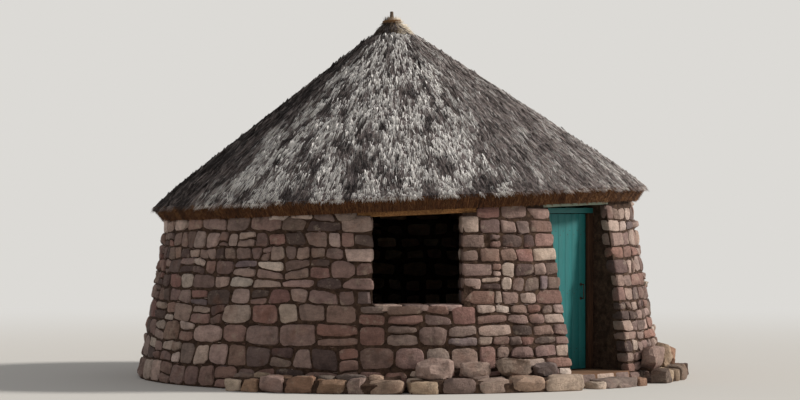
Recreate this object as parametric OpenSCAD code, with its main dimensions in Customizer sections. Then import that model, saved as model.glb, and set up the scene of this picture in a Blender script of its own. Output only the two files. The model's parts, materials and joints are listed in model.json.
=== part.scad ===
// Rondavel: a round rubble-stone hut with a conical thatched roof.
// Millimetres, +Z up. The door faces -Y and the origin is the centre of the round wall at the ground.
// Angles are measured anticlockwise from +X, seen from above.

/* [Wall] */
// Radius of the room, to the inner face of the wall
wall_inner_r = 2335; // [2100:5:2700]
// Thickness of the wall at its head
wall_head_t = 405; // [340:5:480]
// Angle by which the outer face leans inwards, in degrees
wall_batter = 10; // [6:0.5:12]
// Height of the wall head at the centre of the hut
wall_h = 1978; // [1800:1:2300]

/* [Window] */
// Angle from the door to the window, in degrees
window_turn = 44; // [40:1:60]
// Width of the window hole
window_w = 1000; // [600:10:1050]
// Height of the window sill above the ground
window_sill_h = 930; // [600:10:1200]
// Thickness of the window lintel timbers
window_lintel_h = 70; // [50:1:100]
// Length of the window lintel that bears on the wall at each end
window_lintel_bearing = 155; // [100:5:180]

/* [Doorway] */
// Width of the doorway between its stone jambs
doorway_w = 1050; // [900:10:1100]
// Thickness of the door lintel timbers
door_lintel_h = 50; // [40:1:80]
// Length of the door lintel that bears on the wall at each end
door_lintel_bearing = 60; // [50:5:100]
// Timbers that lie side by side in each lintel
lintel_timbers = 4; // [3:1:5]
// Width of each post of the door frame
post_w = 79; // [60:1:100]
// Depth of the door frame, from its outer to its inner face
frame_depth = 90; // [80:1:110]
// Height of the head of the door frame
frame_head_h = 60; // [45:1:80]
// Distance from the inner face of the frame to the inner face of the wall
frame_inset = 75; // [60:1:100]
// Width of the lip that the leaf closes behind
lip_w = 20; // [15:1:30]
// Thickness of the lip
lip_t = 30; // [20:1:35]

/* [Door leaf] */
// Running gap around the leaf
door_gap = 8.5; // [8:0.5:12]
// Number of upright boards in the leaf
board_count = 7; // [5:1:9]
// Thickness of the boards
board_t = 25; // [20:1:30]
// Gap between neighbouring boards
board_gap = 3; // [2:0.5:6]
// Thickness of the ledges behind the boards
ledge_t = 28; // [20:1:30]
// Height of each ledge
ledge_h = 110; // [80:5:140]
// Width of each slanting brace
brace_w = 90; // [60:5:110]
// Distance from the leaf's end to the nearest ledge
ledge_end = 160; // [120:5:220]
// Height of the pull's middle above the foot of the leaf
pull_z = 880; // [700:10:1100]
// Length of the pull between its feet
pull_l = 160; // [120:5:200]
// Diameter of the pull's rod
pull_d = 12; // [10:1:16]
// Room for the fingers behind the pull
pull_reach = 38; // [30:1:50]

/* [Hinges] */
// Diameter of the hinge pins
pin_d = 10; // [8:1:12]
// Running clearance around a pin
pin_clear = 0.4; // [0.3:0.1:0.6]
// Outer diameter of the hinge knuckles
knuckle_d = 20; // [18:1:24]
// Length of each knuckle
knuckle_l = 32; // [24:1:40]
// Thickness of the hinge plates
plate_t = 4; // [3:1:5]
// Height of the hinge straps
strap_h = 30; // [24:1:36]
// Length of the hinge straps along the leaf
strap_l = 420; // [300:10:520]

/* [Floor and stones] */
// Height of the rammed floor and the doorway's sill
floor_h = 150; // [100:5:200]
// Height of the footing ledge
footing_h = 175; // [140:5:220]
// Width by which the footing stands out from the wall
footing_w = 320; // [240:10:400]
// Height of the doorstep
step_h = 105; // [80:5:140]
// Width of the doorstep
step_w = 880; // [700:10:1000]
// Depth of the doorstep
step_d = 300; // [240:10:360]

/* [Roof] */
// Pitch of the roof in degrees
roof_pitch = 35.5; // [32:0.5:40]
// Angle by which the whole roof has settled over, in degrees
roof_lean = 2.5; // [0:0.1:3]
// Direction towards which the roof has settled, in degrees
roof_lean_towards = 132; // [90:1:180]
// Number of rafters, and of wall-plate poles
rafter_count = 16; // [12:4:16]
// Diameter of the wall-plate poles
plate_d = 80; // [60:1:100]
// Diameter of the rafters
rafter_d = 75; // [55:1:85]
// Length of each rafter beyond the middle of the wall plate
rafter_tail = 120; // [80:5:140]
// Diameter of the ring battens
batten_d = 30; // [20:1:40]
// Spacing of the ring battens along the slope
batten_pitch = 290; // [200:5:400]

/* [Thatch] */
// Thickness of the thatch on the slope
thatch_t = 220; // [180:5:300]
// Thickness of the thatch at the cut eave
eave_cut = 190; // [150:5:210]
// Overhang of the eave beyond the wall
eave_overhang = 139; // [120:1:260]
// Length of slope over which the thatch rounds down to the eave
eave_round_l = 550; // [400:10:700]
// Length of the lowest course of thatch along the slope
eave_course_l = 300; // [220:10:380]
// Radius within which the crown of the thatch is rounded
crown_r = 350; // [300:10:600]
// Radius of the straw topknot at its foot
topknot_r = 215; // [160:5:260]
// Height of the topknot above the crown
topknot_h = 130; // [100:5:180]
// Diameter of the finial pole
finial_d = 50; // [40:1:60]
// Height of the finial pole above the topknot
finial_h = 100; // [50:5:200]

/* [Hidden] */
$fn = 64;

// Gap left where one rough piece is seated on another
seat = 0.3;
// Gap left where the thatch bears on the edge of the wall head
thatch_seat = 0.6;
// More than any size of the hut, for cutting solids
far = 8000;
// Length by which a piece runs on past a plane that cuts it
spare = 100;

// Wall
door_at = 270;
window_at = door_at - window_turn;
wall_head_r = wall_inner_r + wall_head_t;
wall_base_r = wall_head_r + wall_h * tan(wall_batter);
wall_top_max = wall_h + wall_head_r * tan(roof_lean) + spare;

// Bays of whole wall, from the left of the window round the back to the right of the doorway
bay_count = 8;
window_bay_turn = 41;
door_bay_turn = 36;
bays_start = window_at - window_bay_turn;
bays_end = door_at + door_bay_turn - 360;
// Half of a sector that is wide enough for any opening, in degrees
opening_half_turn = 20;

// Stretches of the footing, as angles from the window and from the doorway
footing_left_turns = [39, 3];
footing_front_turns = [2.8, 11];
footing_right_turns = [14, 47];
// Share of the footing's width at which its top edge is rounded off
footing_shoulder = 0.8;
// Boulders on the footing: angle from the window, length, width and height
boulders = [[3, 430, 200, 190], [11, 330, 180, 160], [18.5, 380, 210, 185], [26, 300, 170, 140],
    [61.5, 380, 220, 230], [69.5, 400, 240, 260], [77.5, 340, 210, 200], [84.5, 300, 190, 150]];
// Share of a boulder's height that is knocked off its edges
boulder_knock = 0.35;

// Lintels
window_lintel_l = window_w + 2 * window_lintel_bearing;
door_lintel_l = doorway_w + 2 * door_lintel_bearing;
lintel_inset = 8;
timber_gap = 2;

// Door frame, in the plane of the doorway
frame_in_y = -(wall_inner_r + frame_inset);
frame_out_y = frame_in_y - frame_depth;
jamb_x = doorway_w / 2 - seat;
post_in_x = jamb_x - post_w;
frame_top = frame_head_seat();
post_top = frame_top - frame_head_h;

// Leaf
leaf_x = post_in_x - door_gap;
leaf_foot = floor_h + door_gap;
leaf_top = post_top - door_gap;
leaf_h = leaf_top - leaf_foot;
leaf_out_y = frame_out_y + lip_t + door_gap;
board_in_y = leaf_out_y + board_t;
ledge_in_y = board_in_y + ledge_t;
board_w = (2 * leaf_x + board_gap) / board_count - board_gap;
ledge_inset = 35;
ledge_x = leaf_x - ledge_inset;
brace_inset = 20;
ledge_low = leaf_foot + ledge_end;
ledge_high = leaf_top - ledge_end - ledge_h;
ledge_mid = (ledge_low + ledge_high) / 2;
ledge_zs = [ledge_low, ledge_mid, ledge_high];
pull_inset = 90;
rose_d = 3 * pull_d;
rose_t = 4;

// Hinges: the pins stand in the gap at the leaf's left edge, inside the ledges
pin_x = -(post_in_x + leaf_x) / 2;
pin_y = max(ledge_in_y, frame_in_y) + knuckle_d / 2 + seat;
hinge_zs = [ledge_low + ledge_h / 2, ledge_high + ledge_h / 2];
knuckle_play = 1;
hinge_plate_l = 50;
hinge_plate_w = 30;
pin_end = 6;
strap_root_w = knuckle_d / 4;

// Roof, in the frame that has settled over
plate_r = plate_d / 2;
bearing_r = wall_head_r / (cos(roof_lean) - sin(roof_lean) * tan(wall_batter));
rafter_n = plate_r + seat + rafter_d / 2;
batten_n = plate_r + seat + rafter_d + seat + batten_d / 2;
thatch_n = batten_n + batten_d / 2 + seat;
thatch_top_n = thatch_n + thatch_t;
plate_ring_r = bearing_r - (thatch_n - thatch_seat + plate_r * cos(roof_pitch)) / sin(roof_pitch);
rafter_turn = 360 / rafter_count;
pole_gap = 1;
plate_pole_l = 2 * (plate_ring_r - plate_r) * tan(rafter_turn / 2) - pole_gap;
mains_every = rafter_count / 4;
post_block_d = 105;
post_block_drop = 60;
post_block_gap = 5;
main_head_r = post_block_d / 2 + seat + rafter_d / 2 * sin(roof_pitch);
common_head_r = 300;
batten_top_r = 400;
eave_r = bearing_r + eave_overhang;
eave_s = slope_s(eave_r, thatch_n + eave_cut);
round_s = eave_s - eave_round_l;
course_s = eave_s - eave_course_l;
crown_s = slope_s(crown_r, thatch_top_n);
course_third = (crown_s - course_s) / 3;
finial_bore_r = finial_d / 2 + seat;
topknot_shoulder_r = 0.85 * topknot_r;
topknot_neck_r = 95;
topknot_rim_w = 20;
topknot_rim_h = 12;
topknot_foot_z = crown_z(topknot_r) + seat;
topknot_top_z = crown_z(0) + topknot_h;
finial_top_z = topknot_top_z + finial_h;
binding_d = 16;
binding_drop = 26;

// Outer radius of the wall at height z
function wall_r(z) = wall_base_r - z * tan(wall_batter);

// Height of a level plane of the settled roof above the point x, y
function settled_z(x, y, z) = wall_h + (z - wall_h) / cos(roof_lean)
    - tan(roof_lean) * (x * cos(roof_lean_towards) + y * sin(roof_lean_towards));

// Height at which the frame's head meets the underside of the door lintel
function frame_head_seat() = min([for (x = [-jamb_x, jamb_x], y = [frame_in_y, frame_out_y])
    settled_z(x, y, wall_h - door_lintel_h)]) - seat;

// A point of the roof's section, from its place s down the slope and its height n above the slope
function section(s, n) = [
    plate_ring_r + s * cos(roof_pitch) + n * sin(roof_pitch),
    wall_h + plate_r - s * sin(roof_pitch) + n * cos(roof_pitch)];

// The place down the slope at which height n reaches the radius r
function slope_s(r, n) = (r - plate_ring_r - n * sin(roof_pitch)) / cos(roof_pitch);

// Height of the rounded crown at the radius r
function crown_z(r) = section(crown_s, thatch_top_n)[1]
    + tan(roof_pitch) * ((crown_r - r) - pow(crown_r - r, 2) / (2 * crown_r));

// Height of the thatch above the slope where it rounds down to the eave
function eave_n(s) = thatch_top_n - (thatch_t - eave_cut) * pow((s - round_s) / eave_round_l, 2);

// Turns a piece drawn with its front towards -Y to face the given angle
module facing(at) { rotate([0, 0, at - door_at]) children(); }

// Places pieces in the frame of the settled roof
module settled() {
    translate([0, 0, wall_h])
        rotate(a = roof_lean, v = [-sin(roof_lean_towards), cos(roof_lean_towards), 0])
            translate([0, 0, -wall_h])
                children();
}

// Places pieces on the slope at an angle: X runs down the slope and Z stands on it
module on_slope(at) {
    settled()
        rotate([0, 0, at])
            translate([plate_ring_r, 0, wall_h + plate_r])
                rotate([0, roof_pitch, 0])
                    children();
}

// A sector of the wall before its openings, with its head cut level with the settled roof
module wall_sector(from, to) {
    difference() {
        rotate_extrude(angle = to - from, start = from, $fn = 180)
            polygon([[wall_inner_r, 0], [wall_base_r, 0],
                [wall_r(wall_top_max), wall_top_max], [wall_inner_r, wall_top_max]]);
        settled()
            translate([-far / 2, -far / 2, wall_h])
                cube([far, far, far / 2]);
    }
}

// All that lies on one side of an opening's jamb: side is 1 for +X and -1 for -X
module beyond(x, side) {
    translate([side > 0 ? x : x - far, -far, -far / 2]) cube([far, far, far]);
}

// Outer face of a lintel, set just inside the curved face of the wall at its ends
function lintel_out_y(l) = -(sqrt(pow(wall_head_r, 2) - pow(l / 2, 2)) - lintel_inset);
function lintel_in_y() = -(wall_inner_r + lintel_inset);

// Bed of a lintel, open to the outside
module lintel_bed(at, l, h) {
    settled()
        facing(at)
            translate([-l / 2 - seat, -far / 2, wall_h - h - seat])
                cube([l + 2 * seat, far / 2 + lintel_in_y() + seat, far / 2]);
}

// Timbers of a lintel, side by side
module lintel(at, l, h) {
    depth = lintel_in_y() - lintel_out_y(l);
    timber_w = (depth + timber_gap) / lintel_timbers - timber_gap;
    settled()
        facing(at)
            for (i = [0 : lintel_timbers - 1])
                translate([-l / 2, lintel_out_y(l) + i * (timber_w + timber_gap), wall_h - h])
                    cube([l, timber_w, h]);
}

module window_lintel_bed() { lintel_bed(window_at, window_lintel_l, window_lintel_h); }
module door_lintel_bed() { lintel_bed(door_at, door_lintel_l, door_lintel_h); }

// Outline of a block with its corners knocked off, its low corner at the origin
module knocked_outline(w, h, knock) {
    polygon([[knock, 0], [w - knock, 0], [w, knock], [w, h - knock],
        [w - knock, h], [knock, h], [0, h - knock], [0, knock]]);
}

// How far the edges of a field stone's ends are knocked off, for a knock on its top outline
function end_knock(knock) = 0.6 * knock;
function side_knock(knock) = 0.8 * knock;

// A field stone with its edges knocked off all round, its low corner at the origin
module field_stone(size, knock) {
    intersection() {
        linear_extrude(size[2]) knocked_outline(size[0], size[1], knock);
        translate([0, size[1], 0])
            rotate([90, 0, 0])
                linear_extrude(size[1]) knocked_outline(size[0], size[2], side_knock(knock));
        rotate([90, 0, 90])
            linear_extrude(size[0]) knocked_outline(size[1], size[2], end_knock(knock));
    }
}

// A whole bay of wall, counted from the bay beside the window
module wall_bay(i) {
    color("rosybrown") wall_sector(bay_from(i + 1), bay_from(i));
}

function bay_from(i) = bays_start + (bays_end - bays_start) * i / bay_count;

module wall_front_pier() {
    color("rosybrown")
        difference() {
            wall_sector(window_at, door_at);
            facing(window_at) beyond(window_w / 2, -1);
            beyond(-doorway_w / 2, 1);
            window_lintel_bed();
            door_lintel_bed();
        }
}

module wall_below_window() {
    color("rosybrown")
        intersection() {
            wall_sector(window_at - opening_half_turn, window_at + opening_half_turn);
            facing(window_at)
                translate([-window_w / 2, -far / 2, 0])
                    cube([window_w, far / 2, window_sill_h]);
        }
}

module wall_left_front() {
    color("rosybrown")
        difference() {
            wall_sector(bays_start, window_at);
            facing(window_at) beyond(-window_w / 2, 1);
            window_lintel_bed();
        }
}

module wall_front_right() {
    color("rosybrown")
        difference() {
            wall_sector(door_at, door_at + door_bay_turn);
            beyond(doorway_w / 2, -1);
            door_lintel_bed();
        }
}

module wall_left() { wall_bay(0); }
module wall_left_back() { wall_bay(1); }
module wall_back_left() { wall_bay(2); }
module wall_back() { wall_bay(3); }
module wall_back_right() { wall_bay(4); }
module wall_right_back() { wall_bay(5); }
module wall_right() { wall_bay(6); }
module wall_right_front() { wall_bay(7); }

module earth_floor() {
    color("peru") cylinder(r = wall_inner_r - seat, h = floor_h, $fn = 180);
}

module door_sill() {
    color("tan")
        intersection() {
            rotate_extrude(angle = 2 * opening_half_turn, start = door_at - opening_half_turn, $fn = 180)
                polygon([[wall_inner_r, 0], [wall_base_r, 0], [wall_r(floor_h), floor_h],
                    [wall_inner_r, floor_h]]);
            translate([-jamb_x, -far / 2, -spare]) cube([2 * jamb_x, far / 2, floor_h + 2 * spare]);
        }
}

// The doorstep meets the battered sill just above its own knocked edge
module door_step() {
    knock = step_h / 3;
    color("tan")
        translate([-step_w / 2, -wall_r(end_knock(knock)) - seat - step_d, 0])
            field_stone([step_w, step_d, step_h], knock);
}

// A ledge of field stones laid against the foot of the wall
module footing(from, to) {
    color("darkkhaki")
        rotate_extrude(angle = to - from, start = from, $fn = 180)
            polygon([[wall_base_r + seat, 0], [wall_base_r + footing_w, 0],
                [wall_base_r + footing_w, footing_h / 2],
                [wall_base_r + footing_w * footing_shoulder, footing_h],
                [wall_r(footing_h) + seat, footing_h]]);
}

module footing_left() { footing(window_at - footing_left_turns[0], window_at - footing_left_turns[1]); }
module footing_front() { footing(window_at - footing_front_turns[0], door_at - footing_front_turns[1]); }
module footing_right() { footing(door_at + footing_right_turns[0], door_at + footing_right_turns[1]); }

module footing_boulders() {
    color("burlywood")
        for (b = boulders)
            rotate([0, 0, window_at + b[0]])
                translate([wall_r(footing_h) + seat, -b[1] / 2, footing_h + seat])
                    field_stone([b[2], b[1], b[3]], b[3] * boulder_knock);
}

module window_lintel() {
    color("sienna") lintel(window_at, window_lintel_l, window_lintel_h);
}

module door_lintel() {
    color("darkseagreen") lintel(door_at, door_lintel_l, door_lintel_h);
}

// A post of the frame with its lip: side is -1 for the hinge side and 1 for the latch side
module frame_post(side) {
    color("saddlebrown")
        mirror([side > 0 ? 0 : 1, 0, 0])
            translate([0, 0, floor_h])
                linear_extrude(post_top - floor_h)
                    polygon([[post_in_x - lip_w, frame_out_y], [jamb_x, frame_out_y],
                        [jamb_x, frame_in_y], [post_in_x, frame_in_y],
                        [post_in_x, frame_out_y + lip_t], [post_in_x - lip_w, frame_out_y + lip_t]]);
}

module door_hinge_post() { frame_post(-1); }
module door_latch_post() { frame_post(1); }

module door_head() {
    color("saddlebrown")
        translate([-jamb_x, frame_out_y, post_top])
            cube([2 * jamb_x, frame_depth, frame_head_h]);
}

// One knuckle around the pin's axis, from z to z + l
module knuckle(z, l) {
    translate([pin_x, pin_y, z]) cylinder(d = knuckle_d, h = l);
}

// The fixed side of one hinge: a plate on the post, two knuckles and the pin
module fixed_hinge(z) {
    low = z - 1.5 * knuckle_l;
    plate_x = pin_x - hinge_plate_l;
    plate_y = pin_y - frame_in_y - knuckle_d / 2 + plate_t;
    leaf_l = knuckle_l - knuckle_play;
    knuckle(low, leaf_l);
    knuckle(low + 2 * knuckle_l + knuckle_play, leaf_l);
    translate([plate_x, frame_in_y, low])
        cube([hinge_plate_l, plate_y, leaf_l]);
    translate([plate_x, frame_in_y, low + 2 * knuckle_l + knuckle_play])
        cube([hinge_plate_l, plate_y, leaf_l]);
    translate([plate_x, frame_in_y, low])
        cube([hinge_plate_w, plate_t, 3 * knuckle_l]);
    translate([pin_x, pin_y, low - pin_end])
        cylinder(d = pin_d, h = 3 * knuckle_l + 2 * pin_end);
}

module hinge_pins() {
    color("dimgray")
        for (z = hinge_zs) fixed_hinge(z);
}

// The moving side of one hinge: a strap along the ledge and the middle knuckle
module moving_hinge(z) {
    difference() {
        union() {
            knuckle(z - knuckle_l / 2, knuckle_l);
            translate([pin_x, ledge_in_y, z - strap_h / 2])
                cube([strap_l, plate_t, strap_h]);
            translate([pin_x, ledge_in_y, z - strap_h / 2])
                cube([strap_root_w, pin_y - ledge_in_y, strap_h]);
        }
        translate([pin_x, pin_y, z - knuckle_l])
            cylinder(d = pin_d + 2 * pin_clear, h = 2 * knuckle_l);
    }
}

module hinge_straps() {
    color("dimgray")
        for (z = hinge_zs) moving_hinge(z);
}

module door_boards() {
    color("teal")
        for (i = [0 : board_count - 1])
            translate([-leaf_x + i * (board_w + board_gap), leaf_out_y, leaf_foot])
                cube([board_w, board_t, leaf_h]);
}

module door_ledges() {
    color("teal")
        for (z = ledge_zs)
            translate([-ledge_x, board_in_y, z])
                cube([2 * ledge_x, ledge_t, ledge_h]);
}

// A brace that rises from the hinge side between two ledges
module brace(low, high) {
    foot_x = -ledge_x + brace_inset;
    head_x = ledge_x - brace_inset - brace_w;
    translate([0, ledge_in_y, 0])
        rotate([90, 0, 0])
            linear_extrude(ledge_t)
                polygon([[foot_x, low], [foot_x + brace_w, low], [head_x + brace_w, high], [head_x, high]]);
}

module door_braces() {
    color("teal") {
        brace(ledge_low + ledge_h, ledge_mid);
        brace(ledge_mid + ledge_h, ledge_high);
    }
}

module door_pull() {
    color("dimgray")
        translate([leaf_x - pull_inset, leaf_out_y, leaf_foot + pull_z]) {
            for (z = [-pull_l / 2, pull_l / 2]) {
                translate([0, 0, z])
                    rotate([90, 0, 0])
                        cylinder(d = pull_d, h = pull_reach + pull_d / 2);
                translate([0, 0, z])
                    rotate([90, 0, 0])
                        cylinder(d = rose_d, h = rose_t);
            }
            translate([0, -pull_reach - pull_d / 2, -pull_l / 2 - pull_d / 2])
                cylinder(d = pull_d, h = pull_l + pull_d);
        }
}

module wall_plate() {
    color("peru")
        settled()
            for (i = [0 : rafter_count - 1])
                rotate([0, 0, i * rafter_turn])
                    translate([plate_ring_r, plate_pole_l / 2, wall_h + plate_r])
                        rotate([90, 0, 0])
                            cylinder(r = plate_r, h = plate_pole_l);
}

// A rafter from its tail over the wall up to the radius of its head
module rafter(i, head_r) {
    head_s = slope_s(head_r, rafter_n);
    on_slope(i * rafter_turn)
        translate([head_s, 0, rafter_n])
            rotate([0, 90, 0])
                cylinder(d = rafter_d, h = rafter_tail - head_s);
}

module main_rafters() {
    color("sienna")
        for (i = [0 : mains_every : rafter_count - 1]) rafter(i, main_head_r);
}

// The common rafters between two main rafters
module common_rafters(quarter) {
    color("sienna")
        for (i = [1 : mains_every - 1]) rafter(quarter * mains_every + i, common_head_r);
}

module rafters_back_right() { common_rafters(0); }
module rafters_back_left() { common_rafters(1); }
module rafters_front_left() { common_rafters(2); }
module rafters_front_right() { common_rafters(3); }

module ring_battens() {
    low_s = rafter_tail - batten_d;
    high_s = slope_s(batten_top_r, batten_n);
    rows = floor((low_s - high_s) / batten_pitch);
    color("peru")
        settled()
            for (i = [0 : rows])
                rotate_extrude($fn = 120)
                    translate(section(low_s + (high_s - low_s) * i / rows, batten_n))
                        circle(d = batten_d, $fn = 24);
}

// The whole section of the thatch, from the eave to the bore of the finial
module thatch_section() {
    eave_steps = 8;
    crown_steps = 8;
    polygon(concat(
        [section(slope_s(finial_bore_r, thatch_n), thatch_n), section(eave_s, thatch_n)],
        [for (i = [eave_steps : -1 : 0])
            let (s = round_s + eave_round_l * i / eave_steps) section(s, eave_n(s))],
        [for (i = [0 : crown_steps])
            let (r = crown_r + (finial_bore_r - crown_r) * i / crown_steps) [r, crown_z(r)]]));
}

// A ring of thatch between two places on the slope
module thatch_ring(low_s, high_s) {
    color("darkgray")
        settled()
            rotate_extrude($fn = 180)
                intersection() {
                    thatch_section();
                    polygon([section(low_s, 0), section(high_s, 0),
                        section(high_s, 2 * thatch_top_n), section(low_s, 2 * thatch_top_n)]);
                }
}

module thatch_eave() { thatch_ring(eave_s + spare, course_s); }
module thatch_lower() { thatch_ring(course_s, course_s + course_third); }
module thatch_middle() { thatch_ring(course_s + course_third, crown_s - course_third); }
module thatch_upper() { thatch_ring(crown_s - course_third, crown_s); }

module thatch_crown() {
    color("darkgray")
        settled()
            rotate_extrude($fn = 180)
                difference() {
                    thatch_section();
                    polygon([section(eave_s + spare, 0), section(crown_s, 0),
                        section(crown_s, 2 * thatch_top_n), section(eave_s + spare, 2 * thatch_top_n)]);
                }
}

module topknot() {
    foot_steps = 5;
    color("khaki")
        settled()
            rotate_extrude($fn = 96)
                polygon(concat(
                    [for (i = [0 : foot_steps])
                        let (r = finial_bore_r + (topknot_r - finial_bore_r) * i / foot_steps)
                        [r, crown_z(r) + seat]],
                    [[topknot_shoulder_r, (topknot_foot_z * 2 + topknot_top_z) / 3],
                        [topknot_neck_r, (topknot_foot_z + topknot_top_z * 3) / 4],
                        [topknot_neck_r, topknot_top_z - topknot_rim_h],
                        [topknot_neck_r - topknot_rim_w, topknot_top_z],
                        [finial_bore_r, topknot_top_z]]));
}

module topknot_binding() {
    color("sienna")
        settled()
            rotate_extrude($fn = 96)
                translate([topknot_neck_r + binding_d / 2 + seat, topknot_top_z - binding_drop])
                    circle(d = binding_d, $fn = 24);
}

module finial_pole() {
    block_foot = section(slope_s(main_head_r, plate_r), plate_r)[1] - post_block_drop;
    block_top = section(slope_s(post_block_d / 2, thatch_n), thatch_n)[1] - post_block_gap;
    color("dimgray")
        settled() {
            translate([0, 0, block_foot]) cylinder(d = post_block_d, h = block_top - block_foot);
            translate([0, 0, block_foot]) cylinder(d = finial_d, h = finial_top_z - block_foot);
        }
}

wall_front_pier();
wall_below_window();
wall_left_front();
wall_left();
wall_left_back();
wall_back_left();
wall_back();
wall_back_right();
wall_right_back();
wall_right();
wall_right_front();
wall_front_right();
earth_floor();
door_sill();
door_step();
footing_left();
footing_front();
footing_right();
footing_boulders();
window_lintel();
door_lintel();
door_hinge_post();
door_latch_post();
door_head();
hinge_pins();
door_boards();
door_ledges();
door_braces();
hinge_straps();
door_pull();
wall_plate();
main_rafters();
rafters_front_left();
rafters_front_right();
rafters_back_right();
rafters_back_left();
ring_battens();
thatch_eave();
thatch_lower();
thatch_middle();
thatch_upper();
thatch_crown();
topknot();
topknot_binding();
finial_pole();
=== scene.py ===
# The looks of a round rubble-stone hut with a conical thatched roof.
# Metres, +Z up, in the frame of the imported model. The doorway faces -Y.
import json
from math import asin, cos, pi, radians, sin, tan
import bmesh
import bpy
import numpy as np
from mathutils import Matrix, Vector

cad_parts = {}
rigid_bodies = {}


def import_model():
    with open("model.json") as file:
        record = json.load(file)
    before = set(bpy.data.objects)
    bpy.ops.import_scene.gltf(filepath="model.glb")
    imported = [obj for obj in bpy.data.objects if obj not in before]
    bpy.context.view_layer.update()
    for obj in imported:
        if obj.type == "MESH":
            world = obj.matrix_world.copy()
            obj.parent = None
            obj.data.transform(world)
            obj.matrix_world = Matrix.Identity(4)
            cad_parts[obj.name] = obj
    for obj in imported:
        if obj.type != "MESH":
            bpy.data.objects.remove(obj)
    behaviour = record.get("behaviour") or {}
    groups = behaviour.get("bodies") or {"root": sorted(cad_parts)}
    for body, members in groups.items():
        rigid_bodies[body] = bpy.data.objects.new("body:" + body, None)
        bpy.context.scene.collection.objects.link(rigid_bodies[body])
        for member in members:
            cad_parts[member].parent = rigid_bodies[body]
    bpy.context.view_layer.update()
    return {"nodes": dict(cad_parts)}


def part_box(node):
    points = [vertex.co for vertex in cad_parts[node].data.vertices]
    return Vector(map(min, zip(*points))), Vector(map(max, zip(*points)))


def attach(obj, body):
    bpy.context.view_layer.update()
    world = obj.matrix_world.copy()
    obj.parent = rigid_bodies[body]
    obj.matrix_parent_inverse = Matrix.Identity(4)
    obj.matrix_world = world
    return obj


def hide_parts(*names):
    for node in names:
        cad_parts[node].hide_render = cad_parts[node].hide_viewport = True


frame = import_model()

TURN = 2 * pi

# Sizes of the wall, as the frame has them
SEAT = 0.0003
WALL_IN_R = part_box("earth_floor")[1].x + SEAT
WALL_HEAD_T = 0.405
WALL_BATTER = radians(10)
WALL_H = 1.978
WALL_HEAD_R = WALL_IN_R + WALL_HEAD_T
WALL_BASE_R = WALL_HEAD_R + WALL_H * tan(WALL_BATTER)
DOOR_AT = radians(270)
WINDOW_AT = radians(226)
DOORWAY_W = 1.05
WINDOW_W = 1.0
SILL_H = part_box("wall_below_window")[1].z
FLOOR_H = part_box("earth_floor")[1].z
FOOTING_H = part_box("footing_front")[1].z
FOOTING_W = 0.32
WINDOW_LINTEL = (1.31, 0.07)
DOOR_LINTEL = (1.17, 0.05)
FRAME_OUT_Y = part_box("door_hinge_post")[0].y

# Sizes of the roof, in the frame that has settled over with it
ROOF_PITCH = radians(35.5)
ROOF_LEAN = radians(2.5)
LEANS_TO = radians(132)
PLATE_R = 0.04
RAFTER_D = 0.075
BATTEN_D = 0.03
THATCH_T = 0.22
EAVE_CUT = 0.19
EAVE_OVERHANG = 0.139
EAVE_ROUND_L = 0.55
EAVE_COURSE_L = 0.3
CROWN_R = 0.35
THATCH_SEAT = 0.0006
THATCH_N = PLATE_R + RAFTER_D + BATTEN_D + 3 * SEAT
THATCH_TOP_N = THATCH_N + THATCH_T
BEARING_R = WALL_HEAD_R / (cos(ROOF_LEAN) - sin(ROOF_LEAN) * tan(WALL_BATTER))
PLATE_RING_R = BEARING_R - (THATCH_N - THATCH_SEAT + PLATE_R * cos(ROOF_PITCH)) / sin(ROOF_PITCH)
RAFTER_COUNT = 16
RAFTER_TURN = TURN / RAFTER_COUNT
SETTLED = (Matrix.Translation((0, 0, WALL_H))
           @ Matrix.Rotation(ROOF_LEAN, 4, Vector((-sin(LEANS_TO), cos(LEANS_TO), 0)))
           @ Matrix.Translation((0, 0, -WALL_H)))


def wall_r(z):
    """Outer radius of the wall at height z."""
    return WALL_BASE_R - z * tan(WALL_BATTER)


def head_z(at, r):
    """Height of the settled wall head at an angle and a radius."""
    return WALL_H - tan(ROOF_LEAN) * r * np.cos(at - LEANS_TO)


def section(s, n):
    """A point of the roof's section, from its place down the slope and its height above the slope."""
    return (PLATE_RING_R + s * cos(ROOF_PITCH) + n * sin(ROOF_PITCH),
            WALL_H + PLATE_R - s * sin(ROOF_PITCH) + n * cos(ROOF_PITCH))


def slope_s(r, n):
    """The place down the slope at which height n reaches the radius r."""
    return (r - PLATE_RING_R - n * sin(ROOF_PITCH)) / cos(ROOF_PITCH)


EAVE_S = slope_s(BEARING_R + EAVE_OVERHANG, THATCH_N + EAVE_CUT)
ROUND_S = EAVE_S - EAVE_ROUND_L
COURSE_S = EAVE_S - EAVE_COURSE_L
CROWN_S = slope_s(CROWN_R, THATCH_TOP_N)
COURSE_THIRD = (CROWN_S - COURSE_S) / 3


def eave_n(s):
    """Height of the thatch above the slope, rounded down to the eave."""
    return THATCH_TOP_N - (THATCH_T - EAVE_CUT) * (max(s - ROUND_S, 0) / EAVE_ROUND_L) ** 2


def crown_z(r):
    """Height of the rounded crown at the radius r."""
    drop = CROWN_R - r
    return section(CROWN_S, THATCH_TOP_N)[1] + tan(ROOF_PITCH) * (drop - drop ** 2 / (2 * CROWN_R))


def add(tree, kind, inputs=None, stops=None, **settings):
    """Adds a node with its settings. inputs holds plain values, or the sockets and nodes that feed it."""
    node = tree.nodes.new(kind)
    for name, value in settings.items():
        setattr(node, name, value)
    for name, value in (inputs or {}).items():
        if isinstance(value, bpy.types.Node):
            value = next(socket for socket in value.outputs if socket.enabled)
        if isinstance(value, bpy.types.NodeSocket):
            tree.links.new(value, node.inputs[name])
        else:
            node.inputs[name].default_value = value
    if stops:
        ramp = node.color_ramp.elements
        while len(ramp) < len(stops):
            ramp.new(0.5)
        for element, (place, colour) in zip(ramp, stops):
            element.position = place
            element.color = colour
    return node


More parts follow.
